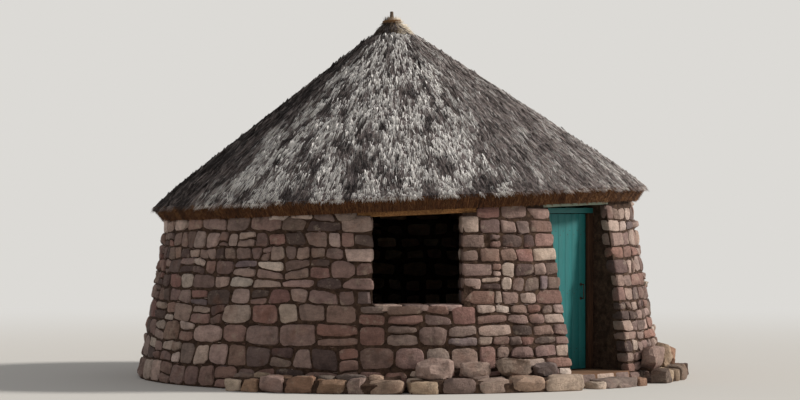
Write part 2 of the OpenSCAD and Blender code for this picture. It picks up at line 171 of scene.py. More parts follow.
def paint(code):
    """A colour written as sRGB hex, as the linear values that a shader takes."""
    values = [int(code[i:i + 2], 16) / 255 for i in (0, 2, 4)]
    return tuple(v / 12.92 if v <= 0.04045 else ((v + 0.055) / 1.055) ** 2.4 for v in values) + (1,)


def grey(value):
    """A plain number as a colour, for ramps that drive a value."""
    return (value, value, value, 1)


def across(size):
    """Scale of a pattern whose marks are this many millimetres across."""
    return 1000 / size


def surface(name, rough, specular=0.3):
    """A new material, its tree, its shader and its object coordinates, in metres."""
    material = bpy.data.materials.new(name)
    material.use_nodes = True
    tree = material.node_tree
    tree.nodes.clear()
    shader = add(tree, "ShaderNodeBsdfPrincipled", {"Roughness": rough, "Specular IOR Level": specular})
    add(tree, "ShaderNodeOutputMaterial", {"Surface": shader})
    where = add(tree, "ShaderNodeTexCoord").outputs["Object"]
    return material, tree, shader, where


def finish(tree, shader, colour, bumps):
    """Joins a material's colour, and its bumps as (height, depth in metres) from the broad to the fine."""
    tree.links.new(next(socket for socket in colour.outputs if socket.enabled), shader.inputs["Base Color"])
    under = None
    for height, depth in bumps:
        inputs = {"Height": height, "Distance": depth, "Strength": 1.0}
        if under:
            inputs["Normal"] = under
        under = add(tree, "ShaderNodeBump", inputs)
    tree.links.new(under.outputs[0], shader.inputs["Normal"])


def field_sandstone():
    """Weathered sandstone picked from the field: grainy and matt, each stone with its own tint, bedded in
    faint layers, stained dark by earth, blotched by iron and pale where the skin has flaked."""
    material, tree, shader, where = surface("field sandstone, weathered", 0.9, 0.2)
    tint = add(tree, "ShaderNodeAttribute", attribute_name="tint").outputs["Color"]
    cloud = add(tree, "ShaderNodeTexNoise",
                {"Vector": where, "Scale": across(110), "Detail": 5.0, "Roughness": 0.65})
    blotch = add(tree, "ShaderNodeValToRGB", {"Fac": cloud},
                 [(0.3, grey(0.62)), (0.5, grey(0.98)), (0.74, grey(1.22))])
    body = add(tree, "ShaderNodeMix", {0: 1.0, 6: tint, 7: blotch}, data_type="RGBA", blend_type="MULTIPLY")
    flat = add(tree, "ShaderNodeMapping", {"Vector": where, "Scale": (1, 1, 3)})
    bed = add(tree, "ShaderNodeTexNoise",
              {"Vector": flat, "Scale": across(70), "Detail": 4.0, "Roughness": 0.6})
    layer = add(tree, "ShaderNodeValToRGB", {"Fac": bed}, [(0.36, grey(0.88)), (0.62, grey(1.07))])
    body = add(tree, "ShaderNodeMix", {0: 1.0, 6: body, 7: layer}, data_type="RGBA", blend_type="MULTIPLY")
    skin = add(tree, "ShaderNodeTexNoise",
               {"Vector": where, "Scale": across(140), "Detail": 7.0, "Roughness": 0.72})
    flake = add(tree, "ShaderNodeValToRGB", {"Fac": skin}, [(0.56, grey(0)), (0.64, grey(0.4))])
    body = add(tree, "ShaderNodeMix", {0: flake, 6: body, 7: paint("ab9a88")}, data_type="RGBA")
    ore = add(tree, "ShaderNodeTexNoise", {"Vector": where, "Scale": across(240), "Detail": 3.0})
    iron = add(tree, "ShaderNodeValToRGB", {"Fac": ore}, [(0.58, grey(0)), (0.74, grey(0.28))])
    body = add(tree, "ShaderNodeMix", {0: iron, 6: body, 7: paint("7d4f3a")}, data_type="RGBA")
    grain = add(tree, "ShaderNodeTexNoise",
                {"Vector": where, "Scale": across(7), "Detail": 4.0, "Roughness": 0.7})
    speck = add(tree, "ShaderNodeValToRGB", {"Fac": grain}, [(0.35, grey(0.76)), (0.65, grey(1.16))])
    body = add(tree, "ShaderNodeMix", {0: 1.0, 6: body, 7: speck}, data_type="RGBA", blend_type="MULTIPLY")
    chip = add(tree, "ShaderNodeTexNoise",
               {"Vector": where, "Scale": across(42), "Detail": 6.0, "Roughness": 0.65})
    finish(tree, shader, body, [(bed, 0.007), (chip, 0.018), (grain, 0.003)])
    return material


def mud_mortar():
    """Daga mud pressed between the stones by hand: darker than the stone, crumbly, with bits of chaff."""
    material, tree, shader, where = surface("mud mortar, hand pressed", 0.96, 0.1)
    lumps = add(tree, "ShaderNodeTexNoise",
                {"Vector": where, "Scale": across(62), "Detail": 5.0, "Roughness": 0.6})
    body = add(tree, "ShaderNodeValToRGB", {"Fac": lumps},
               [(0.3, paint("2b201a")), (0.5, paint("43332a")), (0.72, paint("5b483a"))])
    thin = add(tree, "ShaderNodeMapping", {"Vector": where, "Scale": (1, 1, 3)})
    chaff = add(tree, "ShaderNodeTexNoise", {"Vector": thin, "Scale": across(12), "Detail": 2.0})
    fleck = add(tree, "ShaderNodeValToRGB", {"Fac": chaff}, [(0.62, grey(0)), (0.7, grey(0.4))])
    body = add(tree, "ShaderNodeMix", {0: fleck, 6: body, 7: paint("84705a")}, data_type="RGBA")
    clod = add(tree, "ShaderNodeTexNoise",
               {"Vector": where, "Scale": across(10), "Detail": 3.0, "Roughness": 0.6})
    finish(tree, shader, body, [(lumps, 0.025), (clod, 0.004)])
    return material


def rammed_earth():
    """Earth rammed and smeared by hand: smooth, in broad matt sweeps, cracked here and there."""
    material, tree, shader, where = surface("rammed earth, hand smeared", 0.92, 0.15)
    sweep = add(tree, "ShaderNodeTexNoise", {"Vector": where, "Scale": across(350), "Detail": 4.0})
    body = add(tree, "ShaderNodeValToRGB", {"Fac": sweep},
               [(0.3, paint("5e4534")), (0.55, paint("7b5c46")), (0.75, paint("93745a"))])
    wander = add(tree, "ShaderNodeTexNoise", {"Vector": where, "Scale": across(170), "Detail": 4.0})
    crooked = add(tree, "ShaderNodeMix", {0: 0.12, 4: where, 5: wander.outputs["Color"]}, data_type="VECTOR")
    crack = add(tree, "ShaderNodeTexVoronoi", {"Vector": crooked, "Scale": across(190)},
                feature="DISTANCE_TO_EDGE")
    line = add(tree, "ShaderNodeValToRGB", {"Fac": crack}, [(0.0, grey(0.75)), (0.012, grey(1))])
    body = add(tree, "ShaderNodeMix", {0: 1.0, 6: body, 7: line}, data_type="RGBA", blend_type="MULTIPLY")
    dust = add(tree, "ShaderNodeTexNoise",
               {"Vector": where, "Scale": across(20), "Detail": 3.0, "Roughness": 0.6})
    finish(tree, shader, body, [(sweep, 0.012), (dust, 0.002)])
    return material


def weathered_straw(name, dark, middle, pale, rough=0.62):
    """Grass straws cut and laid by hand: each tuft has its tone, each straw its own. The roots are painted
    darker than the tips as shade deep among the tufts, the tips are partly paler from weathering, and the
    palest straws have less of both."""
    material, tree, shader, where = surface(name, rough, 0.35)
    tone = add(tree, "ShaderNodeAttribute", attribute_name="tone").outputs["Fac"]
    straw = add(tree, "ShaderNodeAttribute", attribute_name="straw").outputs["Fac"]
    along = add(tree, "ShaderNodeAttribute", attribute_name="along").outputs["Fac"]
    tuft = add(tree, "ShaderNodeMath", {0: tone, 1: 0.78}, operation="MULTIPLY")
    mixed = add(tree, "ShaderNodeMath", {0: straw, 1: 0.22, 2: tuft}, operation="MULTIPLY_ADD")
    body = add(tree, "ShaderNodeValToRGB", {"Fac": mixed},
               [(0.22, paint(dark)), (0.5, paint(middle)), (0.78, paint(pale))])
    # Painted shade: the roots darker than the tips, as shade deep in the thatch; the paler tips are partly
    # weathering
    root = add(tree, "ShaderNodeValToRGB", {"Fac": along},
               [(0.0, grey(0.4)), (0.5, grey(1)), (1.0, grey(1.25))])
    # How much of the painted root shade a straw takes: less on the palest ones
    root_shade_share = add(tree, "ShaderNodeMapRange",
                     {"Value": tone, "From Min": 0.8, "From Max": 1.2, "To Min": 1.0, "To Max": 0.25})
    body = add(tree, "ShaderNodeMix", {0: root_shade_share, 6: body, 7: root},
               data_type="RGBA", blend_type="MULTIPLY")
    skin = add(tree, "ShaderNodeTexNoise", {"Vector": where, "Scale": across(4), "Detail": 2.0})
    finish(tree, shader, body, [(skin, 0.001)])
    return material


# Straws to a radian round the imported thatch
STRAWS_ROUND = 330.0


def packed_thatch():
    """The thatch under its loose ends: straw packed tight and combed down the slope, grey on top, and warm
    brown on the cut eave and below, where the sun has not reached it."""
    material, tree, shader, where = surface("grass thatch, packed", 0.85, 0.15)
    back = Matrix(SETTLED).inverted()
    upright = add(tree, "ShaderNodeMapping",
                  {"Vector": where, "Location": back.translation, "Rotation": back.to_euler()})
    level = add(tree, "ShaderNodeVectorMath", {0: upright, 1: (1, 1, 0)}, operation="MULTIPLY")
    spoke = add(tree, "ShaderNodeVectorMath", {0: level}, operation="NORMALIZE")
    spokes = add(tree, "ShaderNodeVectorMath", {0: spoke, "Scale": STRAWS_ROUND}, operation="SCALE")
    away = add(tree, "ShaderNodeVectorMath", {0: level}, operation="LENGTH")
    lengthwise = add(tree, "ShaderNodeMath", {0: away, 1: across(140)}, operation="MULTIPLY")
    run = add(tree, "ShaderNodeCombineXYZ", {"Z": lengthwise})
    laid = add(tree, "ShaderNodeVectorMath", {0: spokes, 1: run}, operation="ADD")
    fibre = add(tree, "ShaderNodeTexNoise", {"Vector": laid, "Scale": 1.0, "Detail": 3.0, "Roughness": 0.7})
    grey_straw = add(tree, "ShaderNodeValToRGB", {"Fac": fibre},
                     [(0.32, paint("2c2625")), (0.5, paint("5f5553")), (0.66, paint("9c918d"))])
    brown_straw = add(tree, "ShaderNodeValToRGB", {"Fac": fibre},
                      [(0.3, paint("2c1a12")), (0.5, paint("553521")), (0.7, paint("87603f"))])
    facing = add(tree, "ShaderNodeNewGeometry").outputs["Normal"]
    up = add(tree, "ShaderNodeSeparateXYZ", {0: facing}).outputs["Z"]
    sunned = add(tree, "ShaderNodeMapRange", {"Value": up, "From Min": -0.35, "From Max": 0.35})
    body = add(tree, "ShaderNodeMix", {0: sunned, 6: brown_straw, 7: grey_straw}, data_type="RGBA")
    stub = add(tree, "ShaderNodeTexNoise",
               {"Vector": where, "Scale": across(11), "Detail": 3.0, "Roughness": 0.7})
    finish(tree, shader, body, [(fibre, 0.014), (stub, 0.006)])
    return material


def wood(name, dark, pale, grain_axis, rough=0.8, ring=12, depth=0.0015):
    """Timber with its grain drawn out along one axis, stained in patches and checked by the sun. ring is the
    width of its grain in millimetres, drawn coarser than the real one so that it shows."""
    material, tree, shader, where = surface(name, rough, 0.2)
    stretch = tuple(0.06 if axis == grain_axis else 1.0 for axis in "xyz")
    drawn = add(tree, "ShaderNodeMapping", {"Vector": where, "Scale": stretch})
    grain = add(tree, "ShaderNodeTexNoise",
                {"Vector": drawn, "Scale": across(ring), "Detail": 5.0, "Roughness": 0.65})
    body = add(tree, "ShaderNodeValToRGB", {"Fac": grain}, [(0.32, paint(dark)), (0.68, paint(pale))])
    cloud = add(tree, "ShaderNodeTexNoise", {"Vector": where, "Scale": across(300), "Detail": 3.0})
    stain = add(tree, "ShaderNodeValToRGB", {"Fac": cloud}, [(0.35, grey(0.7)), (0.65, grey(1.15))])
    body = add(tree, "ShaderNodeMix", {0: 1.0, 6: body, 7: stain}, data_type="RGBA", blend_type="MULTIPLY")
    checks = add(tree, "ShaderNodeTexNoise", {"Vector": drawn, "Scale": across(2.5 * ring), "Detail": 2.0})
    split = add(tree, "ShaderNodeValToRGB", {"Fac": checks}, [(0.3, grey(0)), (0.36, grey(1))])
    finish(tree, shader, body, [(split, depth), (grain, depth)])
    return material


def worn_paint(name, coat, shade, bare, wear, grain_axis="z"):
    """Oil paint brushed on boards: a thin coat with the grain telling through, dulled by the sun, and gone
    where hands, feet and rain have worn it."""
    material, tree, shader, where = surface(name, 0.5, 0.4)
    stretch = tuple(0.08 if axis == grain_axis else 1.0 for axis in "xyz")
    drawn = add(tree, "ShaderNodeMapping", {"Vector": where, "Scale": stretch})
    grain = add(tree, "ShaderNodeTexNoise",
                {"Vector": drawn, "Scale": across(10), "Detail": 5.0, "Roughness": 0.6})
    patch = add(tree, "ShaderNodeTexNoise",
                {"Vector": where, "Scale": across(350), "Detail": 4.0, "Roughness": 0.6})
    body = add(tree, "ShaderNodeMix", {0: patch, 6: paint(coat), 7: paint(shade)}, data_type="RGBA")
    brush = add(tree, "ShaderNodeValToRGB", {"Fac": grain}, [(0.3, grey(0.84)), (0.7, grey(1.08))])
    body = add(tree, "ShaderNodeMix", {0: 1.0, 6: body, 7: brush}, data_type="RGBA", blend_type="MULTIPLY")
    rub = add(tree, "ShaderNodeTexNoise",
              {"Vector": drawn, "Scale": across(50), "Detail": 7.0, "Roughness": 0.75})
    gone = add(tree, "ShaderNodeValToRGB", {"Fac": rub}, [(wear, grey(0)), (wear + 0.03, grey(1))])
    board = add(tree, "ShaderNodeValToRGB", {"Fac": grain}, [(0.35, paint("4a3a2c")), (0.65, paint(bare))])
    body = add(tree, "ShaderNodeMix", {0: gone, 6: body, 7: board}, data_type="RGBA")
    matt = add(tree, "ShaderNodeMapRange", {"Value": gone, "To Min": 0.5, "To Max": 0.85})
    tree.links.new(matt.outputs[0], shader.inputs["Roughness"])
    finish(tree, shader, body, [(gone, -0.0006), (grain, 0.0012)])
    return material


def rusted_iron():
    """Hand-forged iron left bare: hammered, dark where it is handled and bloomed with rust elsewhere."""
    material, tree, shader, where = surface("wrought iron, rusted", 0.6, 0.5)
    shader.inputs["Metallic"].default_value = 0.85
    bloom = add(tree, "ShaderNodeTexNoise",
                {"Vector": where, "Scale": across(30), "Detail": 6.0, "Roughness": 0.7})
    body = add(tree, "ShaderNodeValToRGB", {"Fac": bloom},
               [(0.42, paint("4b4744")), (0.55, paint("5a3d2c")), (0.68, paint("8a4c28"))])
    matt = add(tree, "ShaderNodeMapRange",
               {"Value": bloom, "From Min": 0.4, "From Max": 0.65, "To Min": 0.45, "To Max": 0.9})
    tree.links.new(matt.outputs[0], shader.inputs["Roughness"])
    hammer = add(tree, "ShaderNodeTexNoise", {"Vector": where, "Scale": across(12), "Detail": 3.0})
    finish(tree, shader, body, [(hammer, 0.001)])
    return material


def solid_noise(points, size, seed):
    """Smooth noise from about -1 to 1 at points, with lumps about size metres across: six crossing waves."""
    draw = np.random.default_rng(seed)
    total = np.zeros(points.shape[:-1])
    for _ in range(6):
        wave = draw.normal(size=3)
        wave *= TURN / (2 * size) / np.linalg.norm(wave) * draw.uniform(0.6, 1.5)
        total += np.sin(points @ wave + draw.uniform(0, TURN))
    usual_peak = 3.2
    return total / usual_peak


def in_scene(name, data):
    """A new object of the scene that holds a mesh, a lamp or a camera."""
    thing = bpy.data.objects.new(name, data)
    bpy.context.scene.collection.objects.link(thing)
    return thing


def finished(name, mesh, material, sharp):
    """The mesh as a piece of the scene, smooth but for edges that turn by more than sharp degrees."""
    mesh.shade_smooth()
    mesh.set_sharp_from_angle(angle=radians(sharp))
    mesh.materials.append(material)
    return in_scene(name, mesh)


def make_piece(name, points, faces, material, tints=None, sharp=35):
    """A piece from its points and faces, turned to face outwards, with a tint for each point."""
    mesh = bpy.data.meshes.new(name)
    mesh.from_pydata(points.tolist(), [], faces)
    shape = bmesh.new()
    shape.from_mesh(mesh)
    bmesh.ops.recalc_face_normals(shape, faces=shape.faces)
    shape.to_mesh(mesh)
    shape.free()
    if tints is not None:
        layer = mesh.attributes.new("tint", "FLOAT_COLOR", "POINT")
        layer.data.foreach_set("color", np.asarray(tints, np.float32).ravel())
    return finished(name, mesh, material, sharp)


def fit(piece, body, slot, *nodes):
    """Puts a finished piece on its body, and in the place of CAD nodes where it stands for them."""
    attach(piece, body)
    if nodes:
        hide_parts(*nodes)
    return piece


def ring_faces(rings, sides):
    """Quads between rings of points that are numbered one ring after another."""
    faces = []
    for ring in range(0, (rings - 1) * sides, sides):
        for j in range(sides):
            beside = (j + 1) % sides
            faces.append((ring + j, ring + beside, ring + sides + beside, ring + sides + j))
    return faces


def ring_cap(ring, sides):
    """The face that closes a ring."""
    return tuple(range(ring * sides, (ring + 1) * sides))


def pole(path, radii, sides=10):
    """Points and faces of a round pole swept along a path, closed at both ends."""
    path = np.asarray(path, float)
    along = np.gradient(path, axis=0)
    along /= np.linalg.norm(along, axis=1, keepdims=True)
    side = np.cross(along, (0, 0, 1.0))
    flat = np.linalg.norm(side, axis=1) < 0.05
    side[flat] = (1, 0, 0)
    side /= np.linalg.norm(side, axis=1, keepdims=True)
    other = np.cross(side, along)
    turn = np.arange(sides) * TURN / sides
    ring = side[:, None] * np.cos(turn)[None, :, None] + other[:, None] * np.sin(turn)[None, :, None]
    points = path[:, None] + ring * np.asarray(radii)[:, :, None]
    caps = [ring_cap(0, sides), ring_cap(len(path) - 1, sides)]
    return points.reshape(-1, 3), ring_faces(len(path), sides) + caps


def gather(name, parts, material, sharp=40):
    """One piece from several swept shapes."""
    points = []
    faces = []
    count = 0
    for part_points, part_faces in parts:
        faces += [tuple(count + i for i in face) for face in part_faces]
        points.append(part_points)
        count += len(part_points)
    return make_piece(name, np.concatenate(points), faces, material, sharp=sharp)


def settle(points):
    """Points of the roof, moved over with it as it has settled."""
    turn = np.array(SETTLED)
    return points @ turn[:3, :3].T + turn[:3, 3]


# Tints of the field stones and how often each is met, from the lit and the shaded wall
STONE_TINTS = (("947d73", 5), ("846d64", 5), ("a99286", 4), ("8f7368", 4), ("76635c", 3), ("b8a294", 2),
               ("8b6a60", 2), ("c6b3a6", 1), ("7f706e", 1), ("604f49", 3))
# The stones inside are tinted lighter than those outside, as painted light in the dim room
INNER_TINTS = (("b0957f", 4), ("a1846f", 3), ("c2a891", 2), ("97786a", 2))
BOULDER_TINTS = (("a8907b", 3), ("998275", 3), ("87746a", 3), ("b8a491", 2), ("9a7a64", 2), ("6f625b", 1))
DARK_TINTS = (("6b5c52", 3), ("7c6a5e", 2), ("594d47", 3), ("87715f", 1))


def tint_stones(count, tints, draw):
    """A tint for each stone, drawn from the list and made a little lighter or darker."""
    share = np.array([weight for _, weight in tints], float)
    colours = np.array([paint(code) for code, _ in tints])
    picked = colours[draw.choice(len(tints), size=count, p=share / share.sum())]
    lighter, redder = draw.uniform(0.8, 1.2, (count, 1)), draw.uniform(0.97, 1.03, (count, 3))
    picked[:, :3] *= lighter * redder
    return np.clip(picked, 0, 1)


def rounded(grid, power):
    """Points on the faces of a square or cube of half-size 1, drawn in to a rounded one."""
    most = np.abs(grid).max(-1, keepdims=True)
    length = (np.abs(grid) ** power).sum(-1, keepdims=True) ** (1 / power)
    return grid * most / np.maximum(length, 1e-9)


# Steps across and up the face of a stone, close together at the edges, where it turns; small ones have few
STONE_STEPS = ((-1, -0.93, -0.74, -0.4, 0, 0.4, 0.74, 0.93, 1), (-1, -0.9, -0.6, -0.2, 0.2, 0.6, 0.9, 1))
CHIP_STEPS = ((-1, -0.6, 0, 0.6, 1), (-1, -0.5, 0.5, 1))
# How far the back of a stone lies in the mortar
BEDDED = 0.012
# Angles in degrees past which an edge of a laid stone, or of a whole one, is drawn sharp
LAID_SHARP = 28
WHOLE_SHARP = 30


def face_grid(across, up):
    """The grid of a stone's face, its quads, and the flat back that closes it."""
    a, b = np.meshgrid(across, up, indexing="ij")
    rows = len(up)
    quads = [(i * rows + j, (i + 1) * rows + j, (i + 1) * rows + j + 1, i * rows + j + 1)
             for i in range(len(across) - 1) for j in range(rows - 1)]
    last = len(across) - 1
    rim = ([i * rows for i in range(last)] + [last * rows + j for j in range(rows - 1)]
           + [i * rows + rows - 1 for i in range(last, 0, -1)] + list(range(rows - 1, 0, -1)))
    return np.stack([a.ravel(), b.ravel()], -1), quads, rim[::-1]


def knock_corners(flat, draw, most):
    """Outlines with each of their four corners knocked off by its own amount."""
    for sign in ((-1, -1), (1, -1), (1, 1), (-1, 1)):
        limit = 2 - draw.uniform(0.1, most, (len(flat), 1))
        over = np.maximum(flat @ np.array(sign, float) - limit, 0)
        flat = flat - over[..., None] / 2 * np.array(sign)
    return flat


def hew_faces(grid, count, draw, facets=3, steep=0.85):
    """Relief of stones' faces, near 1: each is broken to a few slanting facets."""
    relief = np.full((count, len(grid)), 1.15)
    for _ in range(facets):
        way = draw.uniform(0, TURN, (count, 1))
        fall = draw.uniform(0.1, steep, (count, 1))
        start = draw.uniform(0.8, 1.2, (count, 1))
        run = grid[None, :, 0] * np.cos(way) + grid[None, :, 1] * np.sin(way)
        relief = np.minimum(relief, start - fall * run)
    return np.maximum(relief, 0.12)


def lay_stones(name, cells, place, r, joint, proud, tints, seed, material, steps=STONE_STEPS):
    """Stones bedded on a round face of radius r. Each cell is the angle and height of its four corners, and
    place(angle, height, out) is the point that stands out from the face."""
    draw = np.random.default_rng(seed)
    cells = np.asarray(cells, float)
    count = len(cells)
    grid, quads, rim = face_grid(*steps)
    middle = cells.mean(1, keepdims=True)
    span = np.abs(cells - middle)
    gap = np.array([joint / r, joint])
    cells = middle + (cells - middle) * (1 - np.minimum(gap / 2 / np.maximum(span, 1e-4), 0.3))
    cells = cells + draw.uniform(-0.7, 0.5, cells.shape) * gap * np.sign(cells - middle)
    flat = rounded(np.repeat(grid[None], count, 0), draw.uniform(4.2, 14.0, (count, 1, 1)))
    flat = knock_corners(flat, draw, 0.52)
    u = (flat[..., 0] + 1) / 2
    v = (flat[..., 1] + 1) / 2
    shares = ((1 - u) * (1 - v), u * (1 - v), u * v, (1 - u) * v)
    spot = sum(cells[:, None, corner] * share[..., None] for corner, share in enumerate(shares))
    edge = draw.uniform(6, 14, (count, 1))
    swell = ((1 - np.abs(grid[None, :, 0]) ** edge) * (1 - np.abs(grid[None, :, 1]) ** edge)) ** 0.38
    height = draw.uniform(*proud, (count, 1)) * hew_faces(grid, count, draw)
    out = -BEDDED + (BEDDED + height) * swell
    points = place(spot[..., 0], spot[..., 1], out)
    rough = 0.5 * solid_noise(points, 0.045, seed + 1) + 0.6 * solid_noise(points, 0.11, seed + 2)
    ragged = np.stack([solid_noise(points, 0.06, seed + 3) / r, solid_noise(points, 0.06, seed + 4)], -1)
    spot = spot + ragged * joint * 0.5
    points = place(spot[..., 0], spot[..., 1], out + 0.24 * (height + BEDDED) * rough * swell)
    size = len(grid)
    faces = []
    for k in range(count):
        start = k * size
        faces += [tuple(start + i for i in quad) for quad in quads]
        faces.append(tuple(start + i for i in rim))
    colours = np.repeat(tint_stones(count, tints, draw), size, 0)
    return make_piece(name, points.reshape(-1, 3), faces, material, colours, LAID_SHARP)


def block_grid():
    """The surface of a cube of half-size 1 as a grid, and its quads."""
    steps = (-1, -0.82, -0.36, 0.36, 0.82, 1)
    index = {}
    quads = []
    for axis in range(3):
        for side in (-1, 1):
            for i in range(len(steps) - 1):
                for j in range(len(steps) - 1):
                    ring = []
                    for p, q in ((i, j), (i + 1, j), (i + 1, j + 1), (i, j + 1)):
                        corner = [steps[p], steps[q]]
                        corner.insert(axis, side)
                        ring.append(index.setdefault(tuple(corner), len(index)))
                    quads.append(tuple(ring))
    return np.array(list(index), float), quads


def lay_blocks(name, boxes, place, tints, seed, material, power=(4.5, 9.0), rumple=0.007, skew=0.08, breaks=4,
               deep=0.22):
    """Whole stones. Each box is (x0, x1, y0, y1, z0, z1) in metres, and place(points) puts them on the wall.
    power is how square they are. breaks is how many flat faces are broken off each, as deep as a share of its
    half-size, and rumple is how uneven its faces are."""
    draw = np.random.default_rng(seed)
    grid, quads = block_grid()
    points = []
    faces = []
    for k, (x0, x1, y0, y1, z0, z1) in enumerate(boxes):
        shape = rounded(grid, draw.uniform(*power))
        for _ in range(breaks):
            way = draw.normal(size=3)
            way /= np.linalg.norm(way)
            reach = shape @ way
            limit = reach.max() * (1 - draw.uniform(0.3, 1.0) * deep)
            shape = shape - np.maximum(reach - limit, 0)[:, None] * way
        shear = draw.uniform(-skew, skew, (3, 3)) * (1 - np.eye(3))
        shape = shape + shape @ shear * 0.5
        shape = shape / np.abs(shape).max(0)
        low, high = np.array([x0, y0, z0]), np.array([x1, y1, z1])
        spot = low + (high - low) * (shape + 1) / 2
        own = seed * 50 + k * 3
        offset = [0.7 * solid_noise(spot, 0.09, own + axis) + 0.4 * solid_noise(spot, 0.035, own + axis + 7)
                  for axis in range(3)]
        points.append(place(spot + rumple * np.stack(offset, -1) * 0.8))
        faces += [tuple(len(grid) * k + i for i in quad) for quad in quads]
    colours = np.repeat(tint_stones(len(boxes), tints, draw), len(grid), 0)
    return make_piece(name, np.concatenate(points), faces, material, colours, WHOLE_SHARP)


def turned(points, at):
    """Points drawn with their front towards -Y, turned to face an angle."""
    turn = at - DOOR_AT
    x = points[..., 0] * cos(turn) - points[..., 1] * sin(turn)
    y = points[..., 0] * sin(turn) + points[..., 1] * cos(turn)
    return np.stack([x, y, points[..., 2]], -1)


# Heights of the courses of stone from the ground up, larger below than above
COURSES = (0.0, 0.235, 0.49, 0.715, 0.93, 1.095, 1.235, 1.405, 1.555, 1.715, 1.86, 2.0, 2.13)
INNER_COURSES = (0.15, 0.36, 0.56, 0.745, 0.93, 1.11, 1.29, 1.47, 1.64, 1.80, 1.95, 2.13)
# A course lower than this is left out, one higher than SPLIT_RISE may hold stones in two layers, and beside
# the door one higher than CORNER_RISE has its corner in two stones
LEAST_COURSE = 0.065
SPLIT_RISE = 0.13
CORNER_RISE = 0.19
# How far the courses wander up and down, and how far a joint leans
WANDER = 0.017
JOINT_LEAN = 0.02
WINDOW_HALF = WINDOW_W / 2
DOOR_HALF = DOORWAY_W / 2
WINDOW_ROUND = WINDOW_AT + TURN
# Width beside the window that is kept for its own corner stones
JAMB_ZONE = 0.42
# How far corner stones stand into an opening, and before the face of the wall
CORNER_IN = (0.012, 0.022)
INNER_CORNER_IN = (0.01, 0.02)
CORNER_OUT = (0.012, 0.034)
# Gap between the stones of one corner, above and below
CORNER_BED = 0.005


def off_centre(at, centre):
    """How far an angle lies from a centre, the shorter way round."""
    return abs((at - centre + pi) % TURN - pi)


def course_z(courses, k, at):
    """Height of the line under course k, which wanders a little and is level beside the openings."""
    if k == 0:
        return courses[0]
    phase = np.random.default_rng(700 + k).uniform(0, TURN, 4)
    wander = (sin(3 * at + phase[0]) + 0.7 * sin(8 * at + phase[1]) + 0.6 * sin(19 * at + phase[2])
              + 0.45 * sin(41 * at + phase[3]))
    near = min(off_centre(at, DOOR_AT), off_centre(at, WINDOW_AT))
    ease = min(max((near - radians(12)) / radians(6), 0), 1)
    return courses[k] + WANDER * wander * ease


def ceiling_z(at, r):
    """Height at which the stones end: the wall head, or the foot of a lintel that lies in it."""
    top = float(head_z(at, r)) - 0.002
    for centre, (length, height) in ((WINDOW_AT, WINDOW_LINTEL), (DOOR_AT, DOOR_LINTEL)):
        if off_centre(at, centre) < asin(length / 2 / r) - 1e-4:
            top -= height
    return top


def course_top(courses, k, at, r):
    """Top of course k: the next line, or the wall head where little would be left above that."""
    roof = ceiling_z(at, r)
    if k + 1 >= len(courses):
        return roof
    line = course_z(courses, k + 1, at)
    return roof if roof - line < LEAST_COURSE else line


def lintel_ends(r):
    """Angles of the lintels' ends on a face of radius r, in order from the doorway on."""
    ends = []
    for centre, (length, _) in ((DOOR_AT, DOOR_LINTEL), (WINDOW_AT, WINDOW_LINTEL)):
        reach = asin(length / 2 / r)
        ends += [(centre + side * reach - DOOR_AT) % TURN + DOOR_AT for side in (-1, 1)]
    return sorted(ends)


def row_cells(low, high, start, end, r, lengths, split, draw):
    """Cells of one row between two angles; low and high give its lines. Joints slant either way, and some
    stones are split in two."""
    cells = []
    edges = [start] + [edge for edge in lintel_ends(r) if start + 0.03 < edge < end - 0.03] + [end]
    for left, right in zip(edges, edges[1:]):
        length = right - left
        count = max(1, round(length * r / draw.uniform(*lengths)))
        cuts = np.concatenate([[0], np.cumsum(draw.uniform(lengths[0], lengths[1], count))])
        cuts = left + cuts / cuts[-1] * length
        slants = draw.uniform(-JOINT_LEAN, JOINT_LEAN, count + 1) / r
        slants[0] = slants[-1] = 0
        for (a, b), (a_slant, b_slant) in zip(zip(cuts, cuts[1:]), zip(slants, slants[1:])):
            inset = (b - a) * 0.05
            foot = (low(a + inset), low(b - inset))
            top = (high(a + inset), high(b - inset))
            rise = (top[0] + top[1] - foot[0] - foot[1]) / 2
            if rise < LEAST_COURSE * 0.9:
                continue
            a_foot, b_foot, a_top, b_top = a - a_slant, b - b_slant, a + a_slant, b + b_slant
            if draw.random() < split and rise > SPLIT_RISE:
                share = draw.uniform(0.36, 0.64, 2)
                mid = [foot[i] + (top[i] - foot[i]) * share[i] for i in (0, 1)]
                cells.append([(a_foot, foot[0]), (b_foot, foot[1]), (b, mid[1]), (a, mid[0])])
                foot, a_foot, b_foot = mid, a, b
            cells.append([(a_foot, foot[0]), (b_foot, foot[1]), (b_top, top[1]), (a_top, top[0])])
    return cells


# Slivers keep this angle from the middle of an opening, and this height above the ground
CORNERS_REACH = 0.22
LOWEST_SLIVER = 0.03


def slivers(cells, share, draw):
    """Cells of the slivers of stone that are wedged into the bed joints of a share of the larger ones."""
    wedges = []
    for cell in cells:
        if draw.random() > share:
            continue
        along = draw.random()
        (at, z), (at_end, z_end) = cell[:2]
        at, z = at + (at_end - at) * along, z + (z_end - z) * along
        near = min(off_centre(at, DOOR_AT), off_centre(at, WINDOW_AT))
        wide, tall = draw.uniform(0.014, 0.045) / WALL_HEAD_R, draw.uniform(0.005, 0.011)
        if near < CORNERS_REACH or z < LOWEST_SLIVER or z + tall > ceiling_z(at, WALL_HEAD_R):
            continue
        tip = tall * draw.uniform(0.2, 1.0, 2)
        wedges.append([(at - wide, z - tip[0]), (at + wide, z - tip[1]), (at + wide, z + tip[1]),
                       (at - wide, z + tip[0])])
    return wedges


def on_outer_face(at, z, out):
    """A point that stands out from the leaning outer face of the wall."""
    r = wall_r(z) + out * cos(WALL_BATTER)
    return np.stack([r * np.cos(at), r * np.sin(at), z + out * sin(WALL_BATTER)], -1)


